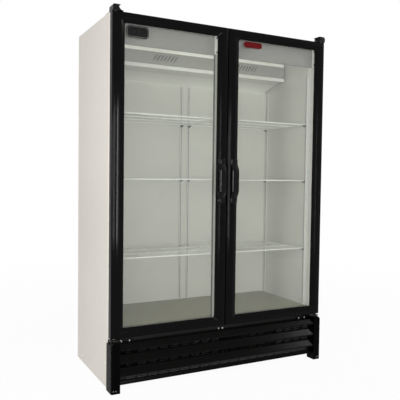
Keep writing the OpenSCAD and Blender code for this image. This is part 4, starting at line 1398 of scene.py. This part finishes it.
@dataclass
class Viewpoint:
    """The photograph's camera, solved from the cabinet's edges.

    Attributes:
        place: Position in metres.
        yaw: Turn to the right from looking along +Y.
        pitch: Tilt down.
        roll: Roll.
        focal: Focal length in pixels of the frame.
        frame_pixels: Width of the square frame in pixels.
        sensor: Width of the sensor in millimetres.
        far: Distance up to which the camera sees.
    """

    place: Place = (-1.6007, -3.0570, 1.143)
    yaw: float = 0.4791672
    pitch: float = 0.0412177
    roll: float = 0.0125216
    focal: float = 553.8527
    frame_pixels: float = 400.0
    sensor: float = 36.0
    far: float = 200.0

    def build(self) -> None:
        """Create the camera and make it the scene's."""
        ahead = Vector((math.sin(self.yaw) * math.cos(self.pitch),
                        math.cos(self.yaw) * math.cos(self.pitch), -math.sin(self.pitch)))
        right = Vector((math.cos(self.yaw), -math.sin(self.yaw), 0.0))
        up = right.cross(ahead)
        c, s = math.cos(self.roll), math.sin(self.roll)
        right, up = c * right + s * up, -s * right + c * up
        lens = bpy.data.cameras.new("camera")
        lens.sensor_width = self.sensor
        lens.lens = self.focal / self.frame_pixels * lens.sensor_width
        lens.clip_end = self.far
        camera = bpy.data.objects.new("camera", lens)
        camera.matrix_world = Matrix.Translation(self.place) @ Matrix(
            (right, up, -ahead)).transposed().to_4x4()
        bpy.context.scene.collection.objects.link(camera)
        bpy.context.scene.camera = camera


@dataclass
class Softbox:
    """A rectangular soft lamp that looks at a point.

    Attributes:
        name: Name of the lamp.
        place: Position in metres.
        aim: Point that it looks at.
        size: Width and height in metres.
        power: Power in watts.
        narrow: Whether it only draws highlights, without a shadow or an image in the panes.
    """

    name: str
    place: Place
    aim: Place
    size: Point
    power: float
    narrow: bool = False

    def build(self, panes: bpy.types.Collection) -> None:
        """Create the lamp.

        Args:
            panes: Collection that keeps a narrow lamp off the panes.
        """
        lamp = bpy.data.lights.new(self.name, "AREA")
        lamp.shape = "RECTANGLE"
        lamp.use_shadow = not self.narrow
        lamp.size, lamp.size_y, lamp.energy = self.size[0], self.size[1], self.power
        made = bpy.data.objects.new(self.name, lamp)
        made.location = self.place
        ahead = Vector(self.aim) - Vector(self.place)
        made.rotation_euler = ahead.to_track_quat("-Z", "Y").to_euler()
        bpy.context.scene.collection.objects.link(made)
        if self.narrow:
            made.light_linking.receiver_collection = panes


@dataclass
class Studio:
    """Pale floor, white surroundings and soft lamps.

    Attributes:
        reach: Half width of the floor.
        ambient: Strength of the surroundings on rough surfaces.
        near: Distances between which the floor turns plain white.
        pale: Share of white of the floor near the object.
        tones: Darkest and lightest tone of the floor.
        lamps: The soft lamps.
    """

    reach: float = 14.0
    ambient: float = 0.455
    near: Point = (1.2, 5.0)
    pale: float = 0.955
    tones: Point = (0.84, 0.9)
    lamps: tuple[Softbox, ...] = (
        Softbox("key lamp", (-2.7, -4.3, 1.3), (0.0, 0.0, 1.0), (1.8, 2.4), 62.0),
        Softbox("side lamp", (-2.3, -1.6, 1.35), (-0.69, -0.2, 1.3), (0.5, 0.7), 22.0),
        Softbox("strip lamp", (0.84, -4.9, 1.15), (0.0, 0.0, 1.1), (0.1, 1.9), 36.0, True),
        Softbox("edge lamp", (-0.75, -4.9, 1.15), (-0.4, 0.0, 1.1), (0.1, 1.9), 26.0, True),
        Softbox("high lamp", (4.2, -3.2, 3.6), (0.0, 0.0, 0.6), (0.6, 0.6), 24.0),
    )

    def build(self, panes: Iterable[bpy.types.Object]) -> None:
        """Create the surroundings, the floor and the lamps.

        Args:
            panes: Glass that the narrow lamps leave out.
        """
        bpy.context.scene.view_settings.view_transform = "Standard"
        self._surroundings()
        self._floor()
        spared = bpy.data.collections.new("panes")
        for pane in panes:
            spared.objects.link(pane)
        for held in spared.collection_objects:
            held.light_linking.link_state = "EXCLUDE"
        for lamp in self.lamps:
            lamp.build(spared)

    @staticmethod
    def _seen(graph: Graph) -> Any:
        """Factor that is 1 for rays of the camera, of gloss and through glass."""
        path = graph.add("LightPath").outputs
        gloss = graph.maths("MAXIMUM", path["Is Glossy Ray"], path["Is Transmission Ray"])
        return graph.maths("MAXIMUM", path["Is Camera Ray"], gloss)

    def _surroundings(self) -> None:
        """White surroundings that light rough surfaces at the ambient level."""
        world = bpy.data.worlds.new("surroundings")
        graph = Graph.of(world)
        strength = graph.remap(self._seen(graph), 0.0, 1.0, self.ambient, 1.0)
        light = graph.add("Background", {"Color": WHITE, "Strength": strength})
        graph.add("OutputWorld", {"Surface": light.outputs[0]})
        bpy.context.scene.world = world

    def _floor(self) -> None:
        """Pale floor that keeps a soft shadow of the object."""
        mesh = bmesh.new()
        bmesh.ops.create_grid(mesh, x_segments=8, y_segments=8, size=self.reach)
        data = bpy.data.meshes.new("studio_floor")
        mesh.to_mesh(data)
        mesh.free()
        floor = bpy.data.objects.new("studio_floor", data)
        bpy.context.scene.collection.objects.link(floor)
        made = bpy.data.materials.new("pale floor")
        graph = Graph.of(made)
        place = graph.add("TexCoord").outputs["Object"]
        tone = graph.remap(graph.noise(place, 1.5, 4.0), 0.0, 1.0, *self.tones)
        rough = graph.add("BsdfDiffuse", {"Color": graph.mix(tone, (0.0, 0.0, 0.0), WHITE)})
        white = graph.add("Emission", {"Color": WHITE, "Strength": 1.0})
        far = graph.add("VectorMath", {0: place}, operation="LENGTH").outputs["Value"]
        pale = graph.remap(far, *self.near, self.pale)
        share = graph.maths("MULTIPLY", self._seen(graph), pale)
        both = graph.add("MixShader", {0: share, 1: rough.outputs[0], 2: white.outputs[0]})
        graph.add("OutputMaterial", {"Surface": both.outputs[0]})
        data.materials.append(made)


def badges(body: Body) -> Iterable[BadgePlate]:
    """The two bare badge plates on the door glass.

    Args:
        body: Planes of the cabinet.

    Returns:
        The plates.
    """
    face = body.door_front + 0.0122
    yield BadgePlate("left_badge_plate", (-0.6112, -0.486, 1.866, 1.929), 0.020, 0.0024, face,
                     "left_door", PLATE_BLACK, "door_black", rim=0.0016)
    yield BadgePlate("right_badge_plate", (0.104, 0.228, 1.897, 1.9305), 0.0155, 0.0018, face,
                     "right_door", PLATE_RED, "handle_black")


def main() -> None:
    """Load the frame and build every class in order."""
    logging.basicConfig(level=logging.INFO, format="%(name)s: %(message)s")
    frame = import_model()
    body = Body()
    Viewpoint().build()
    Studio().build([frame["nodes"][f"{side.word}_door_glass"] for side in Side])
    Cabinet(body).dress(frame)
    Interior().dress(frame)
    Hardware(body).dress(frame)
    CoolingUnit().dress(frame)
    for side in Side:
        Door(side, body).dress(frame)
    for plate in badges(body):
        plate.build()


if __name__ == "__main__":
    main()
